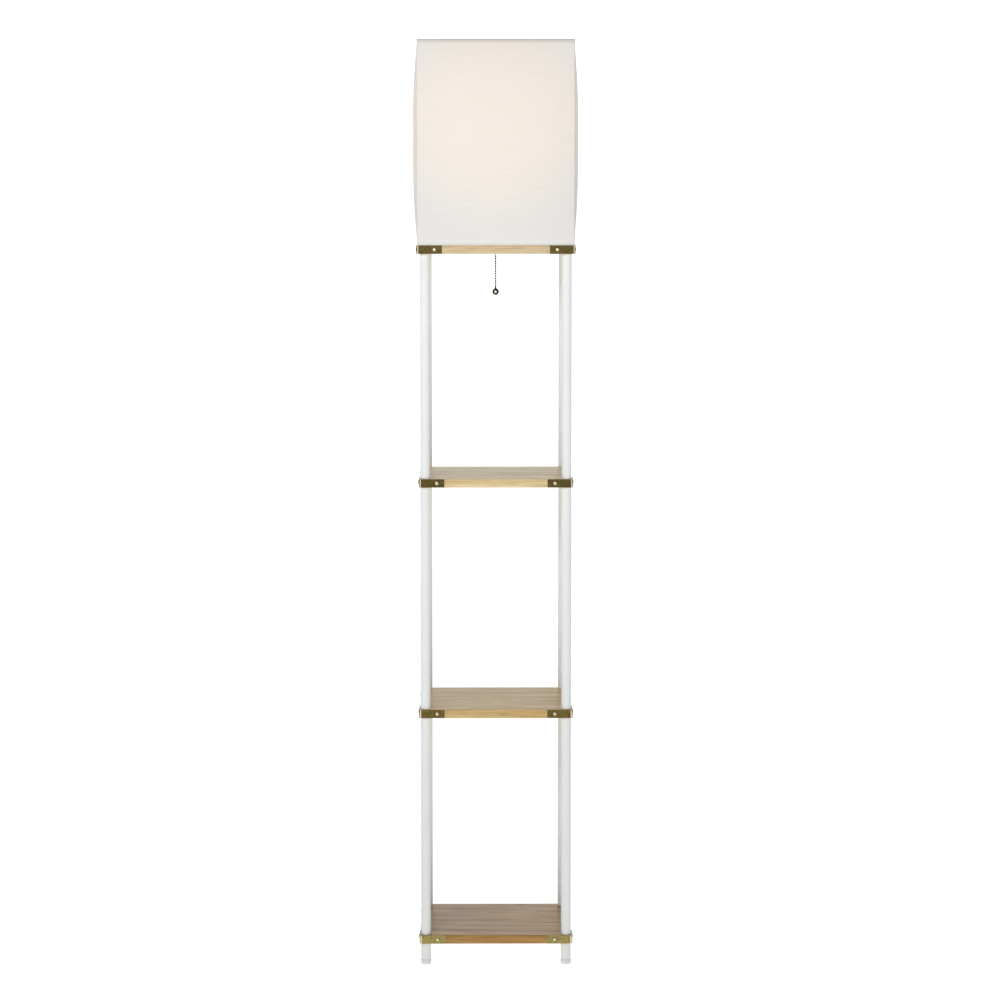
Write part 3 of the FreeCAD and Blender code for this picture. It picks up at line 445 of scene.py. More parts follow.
@dataclass(frozen=True)
class LitLinen:
    """Slub linen laminated to a stiff backing, with the lamp lit behind it.

    Attributes:
        lamp_height: the lamp's level in metres.
        near: the distance from the lamp in metres within which the cloth glows fully.
        reach: how much further the glow takes to fade, in metres.
    """

    name: str
    colour: str = "#E1DFDC"
    slub: str = "#DEDCD8"
    glow: str = "#FFBB5E"
    glow_strength: float = 0.125
    slot: str = "shade_linen"
    lamp_height: float = 1.47
    near: float = 0.14
    reach: float = 0.125
    thread_mm: float = 1.6
    slub_length_mm: float = 60.0
    slubs_per_metre: float = 330.0

    def build(self) -> Material:
        """Lay out a plain weave with thick threads here and there, and the lamp's warm pool.

        Returns:
            The material.
        """
        material, tree, shader, place = begin(self.name)
        cloth = place.outputs["UV"]
        # Thread spacing is 0.5 mm on the real cloth: 1.6 mm is the finest that shows here.
        threads = add_node(tree, "Mapping", cloth, Scale=(1000 / self.thread_mm,) * 3)
        one_wave = math.tau / 20
        warp, weft = (
            add_node(tree, "TexWave", threads, Scale=one_wave, bands_direction=way).outputs["Fac"]
            for way in "XY"
        )
        # Slubs are thick places about 3 mm high and 60 mm long in the level threads.
        drawn_out = (1000 / self.slub_length_mm, self.slubs_per_metre, 1.0)
        level = add_node(tree, "Mapping", cloth, Scale=drawn_out)
        slubs = add_node(tree, "TexNoise", level, Scale=1.0, Detail=2.0)
        woven = add_node(tree, "Math", warp, weft, operation="MULTIPLY")
        surface = add_node(tree, "Math", slubs, 0.3, woven, operation="MULTIPLY_ADD")
        tone = add_node(tree, "ValToRGB", slubs, stops=[(0.32, self.slub), (0.6, self.colour)])
        # The cloth is warmest and brightest where it is nearest to the lamp.
        lamp = (0.0, 0.0, self.lamp_height)
        away = add_node(tree, "VectorMath", place.outputs["Object"], lamp, operation="DISTANCE")
        pool = add_node(
            tree,
            "MapRange",
            away,
            From_Min=self.near,
            From_Max=self.near + self.reach,
            To_Min=self.glow_strength,
            To_Max=0.0,
            interpolation_type="SMOOTHERSTEP",
        )
        raised = add_node(tree, "Bump", Height=surface, Distance=0.08 * MM, Strength=0.055)
        feed(shader, Base_Color=tone, Roughness=0.85, Normal=raised)
        feed(shader, Specular_IOR_Level=0.25, Sheen_Weight=0.08)
        feed(shader, Emission_Color=linear(self.glow), Emission_Strength=pool)
        return material


class Finish(Enum):
    """Every finish on the lamp."""

    # The shelves are darker and browner from the upper shelf down to the lower: partly the oak's
    # own tone, partly painted shade for the light that falls off towards the floor.
    OAK_TOP = OiledOak("Oiled_oak_top_board", "#DAC8A6", "#C8AE80", "#AE9063", "#8F744E")
    OAK_UPPER = OiledOak(
        "Oiled_oak_upper_shelf", "#EAD8B4", "#D6BC8A", "#B89A68", "#957A50", (60.0, 770.0), 3.17
    )
    OAK_MIDDLE = OiledOak(
        "Oiled_oak_middle_shelf", "#D8BC84", "#C5A363", "#AC884B", "#8D6C3B", (-55.0, 375.0), 7.43
    )
    OAK_LOWER = OiledOak(
        "Oiled_oak_lower_shelf", "#BA914A", "#9F752D", "#7C541C", "#624214", (40.0, -20.0), 12.91
    )
    LACQUER = SatinLacquer(
        "White_satin_lacquer_on_steel", "white_lacquer", "#EDEFEE", "#E6E8E7", 0.5, sheen=0.2
    )
    WIRE = SatinLacquer("White_powder_coated_wire", "frame_wire", "#E4E2DC", "#D8D6D0", 0.45)
    LINING = SatinLacquer("White_styrene_backing", "shade_linen", "#F0ECE2", "#EAE5D9", 0.5, 4.0)
    # All the strips are one brass: the middle shelf's are coloured a little lighter and the lower
    # shelf's much lighter, a painted reflection of the bright floor below them.
    BRACKET = AntiqueBrass("Antique_brass_strip", "#463D22", "#5F5230", bend=0.95)
    MID_BRACKET = AntiqueBrass("Antique_brass_strip_worn", "#564A24", "#76673A", bend=0.95)
    LOW_BRACKET = AntiqueBrass(
        "Antique_brass_strip_rubbed", "#877A47", "#A3955D", "#CDBE85", bend=0.95
    )
    # The tacks are one brass with a painted highlight on the crown; the lower shelf's tacks get a
    # paler, stronger painted highlight.
    TACK = AntiqueBrass("Antique_brass_tack", "#6A5A30", "#84723F", "#BDA96B", 0.46, 2.5, crown=0.6)
    LOW_TACK = AntiqueBrass(
        "Antique_brass_tack_rubbed", "#66572F", "#85733F", "#C9B67A", 0.44, 2.5, crown=0.75
    )
    CHAIN = AntiqueBrass(
        "Bronzed_bead_chain",
        "#14110D",
        "#1E1914",
        "#3A3024",
        roughness=0.4,
        cloud_mm=1.5,
        worn_mm=0.3,
        worn=0.1,
        edge="#57503F",
        slot="bronze_chain",
    )
    # The ball gets a painted highlight on its front.
    BALL = AntiqueBrass(
        "Bronzed_ball",
        "#15120D",
        "#1E1A13",
        "#4A4133",
        roughness=0.42,
        cloud_mm=2.5,
        worn_mm=0.3,
        worn=0.1,
        front_highlight=0.85,
        edge="#2B271F",
        slot="bronze_chain",
    )
    ZINC = PlainMetal(
        "Zinc_plated_steel", "zinc_steel", "#BEBDB6", "#A3A29B", 0.36, (500.0, 500.0, 500.0)
    )
    CONTACT = PlainMetal(
        "Stamped_brass_contact", "contact_brass", "#CDAE68", "#AF8F4C", 0.3, (90.0, 900.0, 900.0)
    )
    SHELL = PlainMetal(
        "Spun_aluminium", "shell_aluminium", "#CFCFCC", "#B5B5B2", 0.27, (120.0, 120.0, 2600.0)
    )
    FOOT = MouldedPlastic("Moulded_polyethylene_foot", "foot_plastic", "#E4E5E3", "#DCDDDB", 0.5)
    HOLDER = MouldedPlastic(
        "Moulded_phenolic_lampholder", "socket_plastic", "#E6E3DB", "#DBD7CD", 0.3
    )
    SWITCH = MouldedPlastic("Moulded_black_phenolic", "switch_plastic", "#211F1D", "#171614", 0.3)
    SLEEVE = MouldedPlastic("Extruded_vinyl_sleeve", "lead_sleeve", "#DDD9CF", "#CFCABF", 0.4)
    BULB_BODY = MouldedPlastic("Moulded_bulb_housing", "bulb_plastic", "#F0EEE8", "#E6E3DB", 0.4)
    GLOBE = MouldedPlastic(
        "Opal_polycarbonate", "opal_diffuser", "#FBF6EA", "#F6F0E0", 0.35, "#FFE6C0", 1.0
    )
    LINEN = LitLinen("Slub_linen_on_backing")
    HEM = LitLinen("Turned_linen_edge", "#BCB8AF", "#B3AEA4", glow_strength=0.0)

    def material(self) -> Material:
        """Give the finish's material, built when it is first asked for."""
        return bpy.data.materials.get(self.value.name) or self.value.build()


# ---------------------------------------------------------------- modelling by hand


def deselect() -> None:
    """Leave edit mode and deselect everything."""
    if bpy.context.object and bpy.context.object.mode != "OBJECT":
        bpy.ops.object.mode_set(mode="OBJECT")
    bpy.ops.object.select_all(action="DESELECT")


def pick(piece: Object) -> None:
    """Make one piece the only selected one and the active one.

    Args:
        piece: the piece.
    """
    deselect()
    piece.select_set(True)
    bpy.context.view_layer.objects.active = piece


def settled() -> Object:
    """Apply the new primitive's place, turn and size to its mesh, and give the piece."""
    bpy.ops.object.transform_apply(location=True, rotation=True, scale=True)
    return bpy.context.object


def placed(name: str, data: ID) -> Object:
    """Put new data in the scene.

    Args:
        name: the new object's name.
        data: its mesh, light or camera.

    Returns:
        The object.
    """
    made = bpy.data.objects.new(name, data)
    bpy.context.scene.collection.objects.link(made)
    return made


@contextmanager
def editing(piece: Object, kind: str = "FACE", action: str = "SELECT") -> Iterator[None]:
    """Hold a piece in edit mode.

    Args:
        piece: the piece to edit.
        kind: VERT, EDGE or FACE.
        action: SELECT for all of it at first, DESELECT for nothing.

    Yields:
        Nothing.
    """
    pick(piece)
    bpy.ops.object.mode_set(mode="EDIT")
    bpy.ops.mesh.select_mode(type=kind)
    bpy.ops.mesh.select_all(action=action)
    yield
    bpy.ops.object.mode_set(mode="OBJECT")


def choose_edges(piece: Object, wanted: Callable[[Vector], bool]) -> None:
    """Select edges in edit mode.

    Args:
        piece: the piece being edited.
        wanted: takes an edge's direction.
    """
    shape = bmesh.from_edit_mesh(piece.data)
    for edge in shape.edges:
        first, second = (corner.co for corner in edge.verts)
        edge.select_set(wanted((second - first).normalized()))
    bmesh.update_edit_mesh(piece.data)


def pull_out(move: Sequence[float]) -> None:
    """Extrude what is selected in edit mode, by a move in metres."""
    bpy.ops.mesh.extrude_region_move(TRANSFORM_OT_translate={"value": move})


def apply_modifier(piece: Object, kind: str, **settings: object) -> None:
    """Put a modifier on a piece and apply it.

    Args:
        piece: the piece.
        kind: the modifier's type.
        settings: its own properties.
    """
    pick(piece)
    modifier = piece.modifiers.new(kind.lower(), kind)
    for name, setting in settings.items():
        setattr(modifier, name, setting)
    bpy.ops.object.modifier_apply(modifier=modifier.name)


def close_up(piece: Object) -> None:
    """Merge a piece's doubled corners and turn its faces outwards.

    Args:
        piece: the piece.
    """
    with editing(piece, "VERT"):
        bpy.ops.mesh.remove_doubles(threshold=MERGE)
        bpy.ops.mesh.normals_make_consistent(inside=False)


def soften(piece: Object, width: float = 0.0, steps: int = 2, sharper: float = 40.0) -> None:
    """Round a piece's sharp edges and shade it smooth.

    Args:
        piece: the piece.
        width: the rounding in mm, or 0.
        steps: faces across the rounding.
        sharper: edges that turn by more than this angle in degrees are rounded.
    """
    if width:
        apply_modifier(
            piece,
            "BEVEL",
            width=width * MM,
            segments=steps,
            limit_method="ANGLE",
            angle_limit=math.radians(sharper),
            use_clamp_overlap=True,
            miter_outer="MITER_ARC",
        )
    pick(piece)
    bpy.ops.object.shade_smooth_by_angle(angle=SMOOTH)
    if width:
        apply_modifier(piece, "WEIGHTED_NORMAL", keep_sharp=True)


def turned(outline: Outline, sides: int, y: float = 0.0, rounding: float = 0.0) -> Object:
    """Turn a closed round piece by raising a disc step by step.

    Args:
        outline: radius and level in mm; steps that go back down make a bore.
        sides: faces around.
        y: the axis in mm.
        rounding: of the piece's edges in mm, or 0.

    Returns:
        The piece.
    """
    deselect()
    radius, level = outline[0]
    bpy.ops.mesh.primitive_circle_add(
        vertices=sides, radius=radius * MM, fill_type="NGON", location=(0, y * MM, level * MM)
    )
    piece = settled()
    with editing(piece):
        for (old, below), (new, above) in zip(outline, outline[1:]):
            pull_out((0, 0, (above - below) * MM))
            bpy.ops.transform.resize(
                value=(new / old, new / old, 1.0), center_override=(0, y * MM, above * MM)
            )
    close_up(piece)
    soften(piece, rounding, steps=1, sharper=50)
    return piece


def tube_outline(radius: float, low: float, high: float, ease: float) -> Outline:
    """List the radii and levels of a tube with eased ends, in mm.

    Args:
        radius: of the tube.
        low: its lower end's level.
        high: its upper end's level.
        ease: the chamfer at each end.

    Returns:
        The outline that turned() takes.
    """
    return [
        (radius - ease, low),
        (radius, low + ease),
        (radius, high - ease),
        (radius - ease, high),
    ]


def dome(radius: float, height: float, base: float, steps: int) -> Outline:
    """List the radii and levels of a dome, in mm, from its rim to near its top.

    Args:
        radius: at the rim.
        height: from the rim to the top.
        base: the rim's level.
        steps: how many rings.

    Returns:
        The outline that turned() takes.
    """
    turns = [QUARTER * step / (steps + 0.3) for step in range(steps + 1)]
    return [(radius * math.cos(t), base + height * math.sin(t)) for t in turns]


def ball_outline(radius: float, middle: float, first: float, last: float, steps: int) -> Outline:
    """List the radii and levels of a ball's skin, in mm, from below.

    Args:
        radius: of the ball.
        middle: its middle's level.
        first: the angle up from its lowest point where the skin starts.
        last: the angle where it ends.
        steps: how many rings.

    Returns:
        The outline that turned() takes.
    """
    angles = [first + (last - first) * step / steps for step in range(steps + 1)]
    return [(radius * math.sin(a), middle - radius * math.cos(a)) for a in angles]


def moved_copy(piece: Object, change: Matrix) -> Object:
    """Copy a piece with its own mesh and move the copy.

    Args:
        piece: the piece that was modelled.
        change: where the copy goes.

    Returns:
        The copy.
    """
    copy = placed(piece.name, piece.data.copy())
    copy.data.transform(change)
    return copy


def discard(*pieces: Object) -> None:
    """Remove pieces that were only modelled to be copied."""
    for piece in pieces:
        bpy.data.objects.remove(piece)


def refined(node: str, width: float, steps: int = 2) -> Object:
    """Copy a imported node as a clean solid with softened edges.

    Args:
        node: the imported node.
        width: the rounding in mm, or 0.
        steps: faces across the rounding.

    Returns:
        The copy, at the same place.
    """
    copy = placed(node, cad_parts[node].data.copy())
    copy.data.materials.clear()
    with editing(copy, "VERT"):
        bpy.ops.mesh.customdata_custom_splitnormals_clear()
        bpy.ops.mesh.remove_doubles(threshold=MERGE)
        bpy.ops.mesh.dissolve_limited(angle_limit=math.radians(0.5))
    soften(copy, width, steps)
    return copy


def box_mm(node: str) -> tuple[Vector, Vector]:
    """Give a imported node's lowest and highest corners in mm."""
    low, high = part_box(node)
    return low / MM, high / MM


def to_corner(corner: str, inset: float) -> Matrix:
    """Give the move from the middle axis to a corner that lies inset mm along X and Y."""
    x, y = CORNERS[corner]
    return Matrix.Translation((x * inset * MM, y * inset * MM, 0))


def dress(piece: Object, name: str, finish: Finish, node: str, body: Body = Body.STAND) -> Object:
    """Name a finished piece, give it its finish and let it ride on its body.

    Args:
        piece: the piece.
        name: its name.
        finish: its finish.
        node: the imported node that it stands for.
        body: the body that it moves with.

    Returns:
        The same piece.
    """
    piece.name = name
    piece.data.name = name
    if not piece.data.materials:
        piece.data.materials.append(finish.material())
    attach(piece, body.value)
    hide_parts(node)
    log.info("%s: %d faces, rides on %s", piece.name, len(piece.data.polygons), body.value)
    return piece


def repaint(finishes: Mapping[str, Finish]) -> None:
    """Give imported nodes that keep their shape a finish.

    Args:
        finishes: each node's name and its finish.
    """
    for node, finish in finishes.items():
        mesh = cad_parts[node].data
        mesh.materials.clear()
        mesh.materials.append(finish.material())
        log.info("%s: keeps its shape, %s", node, finish.value.name)


# ---------------------------------------------------------------- the stand


@dataclass
class Board:
    """One oak board with rounded corners and a sanded arris.

    Attributes:
        node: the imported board.
        finish: its oak.
        holes: radius and Y in mm of each hole that shows, all on the middle line.
        corner: the corners' radius in mm.
        arris: the sanded edge in mm.
    """

    node: str
    finish: Finish
    holes: tuple[tuple[float, float], ...] = ()
    corner: float = 3.4
    arris: float = 0.9

    def build(self) -> None:
        """Saw the board to size, drill it and sand its edges."""
        low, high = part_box(self.node)
        deselect()
        bpy.ops.mesh.primitive_cube_add(size=1, location=(low + high) / 2)
        bpy.context.object.scale = high - low
        board = settled()
        with editing(board, "EDGE", "DESELECT"):
            choose_edges(board, lambda along: abs(along.z) > UPRIGHT)
            bpy.ops.mesh.bevel(offset=self.corner * MM, segments=6, affect="EDGES")
        for radius, y in self.holes:
            self.drill(board, radius, y)
        soften(board, self.arris, 3)
        dress(board, self.node.capitalize() + "_oak", self.finish, self.node)

    def drill(self, board: Object, radius: float, y: float) -> None:
        """Drill a hole through a board.

        Args:
            board: the board.
            radius: of the hole in mm.
            y: its place in mm.
        """
        low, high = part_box(self.node)
        deselect()
        bpy.ops.mesh.primitive_cylinder_add(
            vertices=32,
            radius=radius * MM,
            depth=(high.z - low.z) * 1.5,
            location=(0, y * MM, (low.z + high.z) / 2),
        )
        bit = settled()
        apply_modifier(board, "BOOLEAN", object=bit, operation="DIFFERENCE", solver="EXACT")
        discard(bit)


@dataclass
class Posts:
    """The four round posts of one bay.

    Attributes:
        bay: lower, middle or upper.
        inset: the posts' axes from the middle in mm.
        ease: the turned chamfer at each end in mm.
        sides: faces around.
    """

    bay: str
    inset: float = 121.5
    ease: float = 0.5
    sides: int = 48

    def build(self) -> None:
        """Turn one post and copy it to the four corners."""
        low, high = box_mm(f"{self.bay}_post_front_left")
        first = turned(tube_outline((high.x - low.x) / 2, low.z, high.z, self.ease), self.sides)
        for corner in CORNERS:
            node = f"{self.bay}_post_{corner}"
            post = moved_copy(first, to_corner(corner, self.inset))
            dress(post, node.capitalize() + "_tube", Finish.LACQUER, node)
        discard(first)


@dataclass
class Legs:
    """The four short legs with their plastic feet.

    Attributes:
        inset: the legs' axes from the middle in mm.
        radius: of a leg in mm.
        ease: the turned chamfer at each end of a leg in mm.
        foot_radius: of a foot in mm.
        foot_height: in mm.
        foot_round: the rounding under a foot in mm.
        sides: faces around.
    """

    inset: float = 121.5
    radius: float = 8.5
    ease: float = 0.4
    foot_radius: float = 8.8
    foot_height: float = 10.0
    foot_round: float = 3.0
    sides: int = 48

    def build(self) -> None:
        """Turn one leg and one foot and copy them to the four corners."""
        low, high = box_mm("legs")
        leg = turned(tube_outline(self.radius, low.z, high.z, self.ease), self.sides)
        wide, top, edge = self.foot_radius, self.foot_height, self.foot_round
        foot = turned(
            [
                (wide - edge, 0.0),
                (wide - edge * 0.55, edge * 0.12),
                (wide - edge * 0.2, edge * 0.42),
                (wide, edge),
                (wide, top - 0.9),
                (wide - 0.25, top - 0.3),
                (wide - 0.6, top),
            ],
            self.sides,
        )
        for corner in CORNERS:
            place = to_corner(corner, self.inset)
            dress(moved_copy(leg, place), f"Leg_{corner}_tube", Finish.LACQUER, "legs")
            dress(moved_copy(foot, place), f"Foot_{corner}_moulded", Finish.FOOT, "leg_feet")
        discard(leg, foot)


@dataclass
class CornerBrackets:
    """The four brass brackets of one board, each held by two dome-headed tacks.

    Attributes:
        node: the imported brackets.
        finish: the strip's finish.
        tack_finish: the tacks' finish.
        leg: each leg's length in mm.
        thickness: of the strip in mm.
        bend: the outer bend's radius in mm.
        rounding: of the strip's edges in mm.
        tack_radius: in mm.
        tack_height: in mm.
        tack_rim: how high a tack's upright rim is in mm.
        tack_reach: from the outer corner to a tack in mm.
    """

    node: str
    finish: Finish
    tack_finish: Finish
    leg: float = 44.0
    thickness: float = 1.2
    bend: float = 4.4
    rounding: float = 0.3
    tack_radius: float = 4.0
    tack_height: float = 1.6
    tack_rim: float = 0.2
    tack_reach: float = 31.0

    def bend_strip(self) -> Object:
        """Bend one strip round the front left corner.

        Returns:
            The bracket.
        """
        low, high = box_mm(self.node)
        outer, middle = low.x, (low.z + high.z) / 2
        end = ((outer + self.leg) * MM, (outer + self.thickness / 2) * MM, middle * MM)
        centre = ((outer + self.bend) * MM, (outer + self.bend) * MM, middle * MM)
        straight = (self.leg - self.bend) * MM
        deselect()
        bpy.ops.mesh.primitive_plane_add(size=1, location=end, rotation=(0, QUARTER, 0))
        strip = settled()
        with editing(strip):
            bpy.ops.transform.resize(
                value=(1, self.thickness * MM, high.z * MM - low.z * MM), center_override=end
            )
            pull_out((-straight, 0, 0))
            bpy.ops.mesh.spin(steps=8, angle=QUARTER, center=centre, axis=(0, 0, 1))
            pull_out((0, straight, 0))
        close_up(strip)
        soften(strip, self.rounding, sharper=50)
        return strip

    def strike_tack(self) -> Object:
        """Strike one dome head, on the front left bracket's front leg.

        Returns:
            The tack's head.
        """
        skin = dome(self.tack_radius, self.tack_height - self.tack_rim, self.tack_rim, 7)
        head = turned([(self.tack_radius, 0.0), *skin], 28)
        low, high = box_mm(self.node)
        place = ((low.x + self.tack_reach) * MM, low.x * MM, (low.z + high.z) / 2 * MM)
        head.data.transform(Matrix.Translation(place) @ Matrix.Rotation(QUARTER, 4, "X"))
        return head

    def build(self) -> None:
        """Make one bracket with its tacks and copy them to the other corners."""
        strip, head = self.bend_strip(), self.strike_tack()
        swap_x_and_y = Matrix(((0, 1, 0, 0), (1, 0, 0, 0), (0, 0, 1, 0), (0, 0, 0, 1)))
        other = moved_copy(head, swap_x_and_y)
        other.data.flip_normals()
        board = self.node.replace("_brackets", "").capitalize()
        for number, corner in enumerate(CORNERS):
            turn = Matrix.Rotation(QUARTER * number, 4, "Z")
            bracket = moved_copy(strip, turn)
            dress(bracket, f"{board}_bracket_{corner}", self.finish, self.node)
            for side, tack in (("a", head), ("b", other)):
                name = f"{board}_tack_{corner}_{side}"
                dress(moved_copy(tack, turn), name, self.tack_finish, "bracket_tacks")
        discard(strip, head, other)


# ---------------------------------------------------------------- the shade


@dataclass
class Shade:
    """The bowed square shade: linen on a stiff backing, turned edges and a wire frame.

    Attributes:
        base: the bottom edge's level in mm.
        height: in mm.
        half: half the width from corner to corner in mm.
        bow: how far the middle of each side swells at mid-height in mm.
        edge_bow: how far it swells at the top and bottom edges in mm.
        corner: the corners' radius in mm.
        thickness: of cloth and backing in mm.
        hem: the turned edge's height in mm.
        hem_proud: how far it stands off the cloth in mm.
        rows: faces up a side.
        columns: faces across a side.
        corner_steps: faces round a corner.
        rounding: of the turned edges' folds in mm.
        wire: the frame wire's radius in mm.
        wire_bend: the top ring's corner radius in mm.
    """

    base: float = 1250.0
    height: float = 350.0
    half: float = 135.0
    bow: float = 8.5
    edge_bow: float = 0.4
    corner: float = 3.0
    thickness: float = 0.8
    hem: float = 1.8
    hem_proud: float = 0.3
    rows: int = 40
    columns: int = 20
    corner_steps: int = 6
    rounding: float = 0.25
    wire: float = 1.5
    wire_bend: float = 5.0

    def outline(self, level: float, proud: float) -> list[Vector]:
        """List one level's points round the shade, whose sides are shallow arcs.

        Args:
            level: in mm.
            proud: how far the points stand off the cloth in mm.

        Returns:
            The points in metres.
        """
        share = (level - self.base) / self.height
        swell = self.edge_bow + self.bow * (1 - abs(2 * share - 1) ** 3)
        flat = self.half - self.corner
        reach = self.corner + proud
        row = []
        for n in range(self.columns + 1):
            across = 2 * n / self.columns - 1
            row.append((flat * across, -self.half - proud - swell * (1 - across**2)))
        for n in range(1, self.corner_steps):
            angle = -QUARTER + QUARTER * n / self.corner_steps
            row.append((flat + reach * math.cos(angle), -flat + reach * math.sin(angle)))
        return [
            Matrix.Rotation(QUARTER * side, 3, "Z") @ Vector((x * MM, y * MM, level * MM))
            for side in range(4)
            for x, y in row
        ]

    def skin(self, levels: Sequence[float], proud: float = 0.0) -> Object:
        """Wrap a closed band of cloth round the shade, with its own UV map in metres.

        Args:
            levels: the rows' levels in mm.
            proud: how far it stands off the cloth in mm.

        Returns:
            The band, one face thick.
        """
        shape = bmesh.new()
        weave = shape.loops.layers.uv.new("UVMap")
        rings = [[shape.verts.new(p) for p in self.outline(z, proud)] for z in levels]
        around = [0.0]
        for first, second in zip(rings[0], rings[0][1:] + rings[0][:1]):
            around.append(around[-1] + (second.co - first.co).length)
        count = len(rings[0])
        for row, (below, above) in enumerate(zip(rings, rings[1:])):
            for n in range(count):
                following = (n + 1) % count
                face = shape.faces.new((below[n], below[following], above[following], above[n]))
                face.smooth = True
                heights = (levels[row], levels[row], levels[row + 1], levels[row + 1])
                runs = (around[n], around[n + 1], around[n + 1], around[n])
                for loop, u, v in zip(face.loops, runs, heights):
                    loop[weave].uv = (u, v * MM)
        mesh = bpy.data.meshes.new("skin")
        shape.to_mesh(mesh)
        shape.free()
        return placed("skin", mesh)

    def cloth(self) -> Object:
        """Stretch the linen with its backing over the frame.

        Returns:
            The cloth.
        """
        levels = [self.base + self.height * n / self.rows for n in range(self.rows + 1)]
        cloth = self.skin(levels)
        for finish in (Finish.LINEN, Finish.LINING, Finish.HEM):
            cloth.data.materials.append(finish.material())
        apply_modifier(
            cloth,
            "SOLIDIFY",
            thickness=self.thickness * MM,
            offset=-1,
            use_rim=True,
            material_offset=1,
            material_offset_rim=2,
        )
        return dress(cloth, "Shade_linen", Finish.LINEN, "shade_fabric")

    def turned_edge(self, name: str, finish: Finish, edge: float, inner: float) -> Object:
        """Fold the narrow band that covers one raw edge.

        Args:
            name: the band's name.
            finish: its finish.
            edge: the raw edge's level in mm.
            inner: the level in mm that the band reaches on the cloth.

        Returns:
            The band.
        """
        levels = sorted((edge, (edge + inner) / 2, inner))
        band = self.skin(levels, proud=self.hem_proud)
        thickness = (self.thickness + 2 * self.hem_proud) * MM
        apply_modifier(band, "SOLIDIFY", thickness=thickness, offset=-1, use_rim=True)
        soften(band, self.rounding, sharper=60)
        return dress(band, name, finish, "shade_fabric")

    def top_ring(self) -> Object:
        """Bend the top wire into a square with rounded corners.

        Returns:
            The ring.
        """
        low, high = box_mm("shade_top_ring")
        middle, level = high.x - self.wire, (low.z + high.z) / 2
        run = (middle - self.wire_bend) * MM
        deselect()
        bpy.ops.mesh.primitive_circle_add(
            vertices=12,
            radius=self.wire * MM,
            location=(0, -middle * MM, level * MM),
            rotation=(0, QUARTER, 0),
        )
        ring = settled()
        with editing(ring, "EDGE"):
            for corner in range(4):
                turn, next_turn = (
                    Matrix.Rotation(QUARTER * number, 3, "Z") for number in (corner, corner + 1)
                )
                centre = turn @ Vector((run, -run, 0))
                pull_out(turn @ Vector((run, 0, 0)))
                bpy.ops.mesh.spin(
                    steps=6,
                    angle=-QUARTER,
                    center=(centre.x, centre.y, level * MM),
                    axis=(0, 0, 1),
                )
                pull_out(next_turn @ Vector((run, 0, 0)))
        close_up(ring)
        soften(ring)
        return dress(ring, "Shade_top_ring_wire", Finish.WIRE, "shade_top_ring")

    def build(self) -> None:
        """Make the cloth, its edges and the wires that it stands on."""
        cloth = self.cloth()
        top = self.base + self.height
        edges = [
            self.turned_edge("Shade_top_edge", Finish.HEM, top, top - self.hem),
            self.turned_edge("Shade_bottom_edge", Finish.LINEN, self.base, self.base + self.hem),
        ]
        ring = self.top_ring()
        bottom, _ = (
            dress(refined(node, 0), name, Finish.WIRE, node)
            for node, name in (
                ("shade_bottom_ring", "Shade_bottom_ring_wire"),
                ("shade_corner_struts", "Shade_strut_wires"),
            )
        )


# ---------------------------------------------------------------- the light


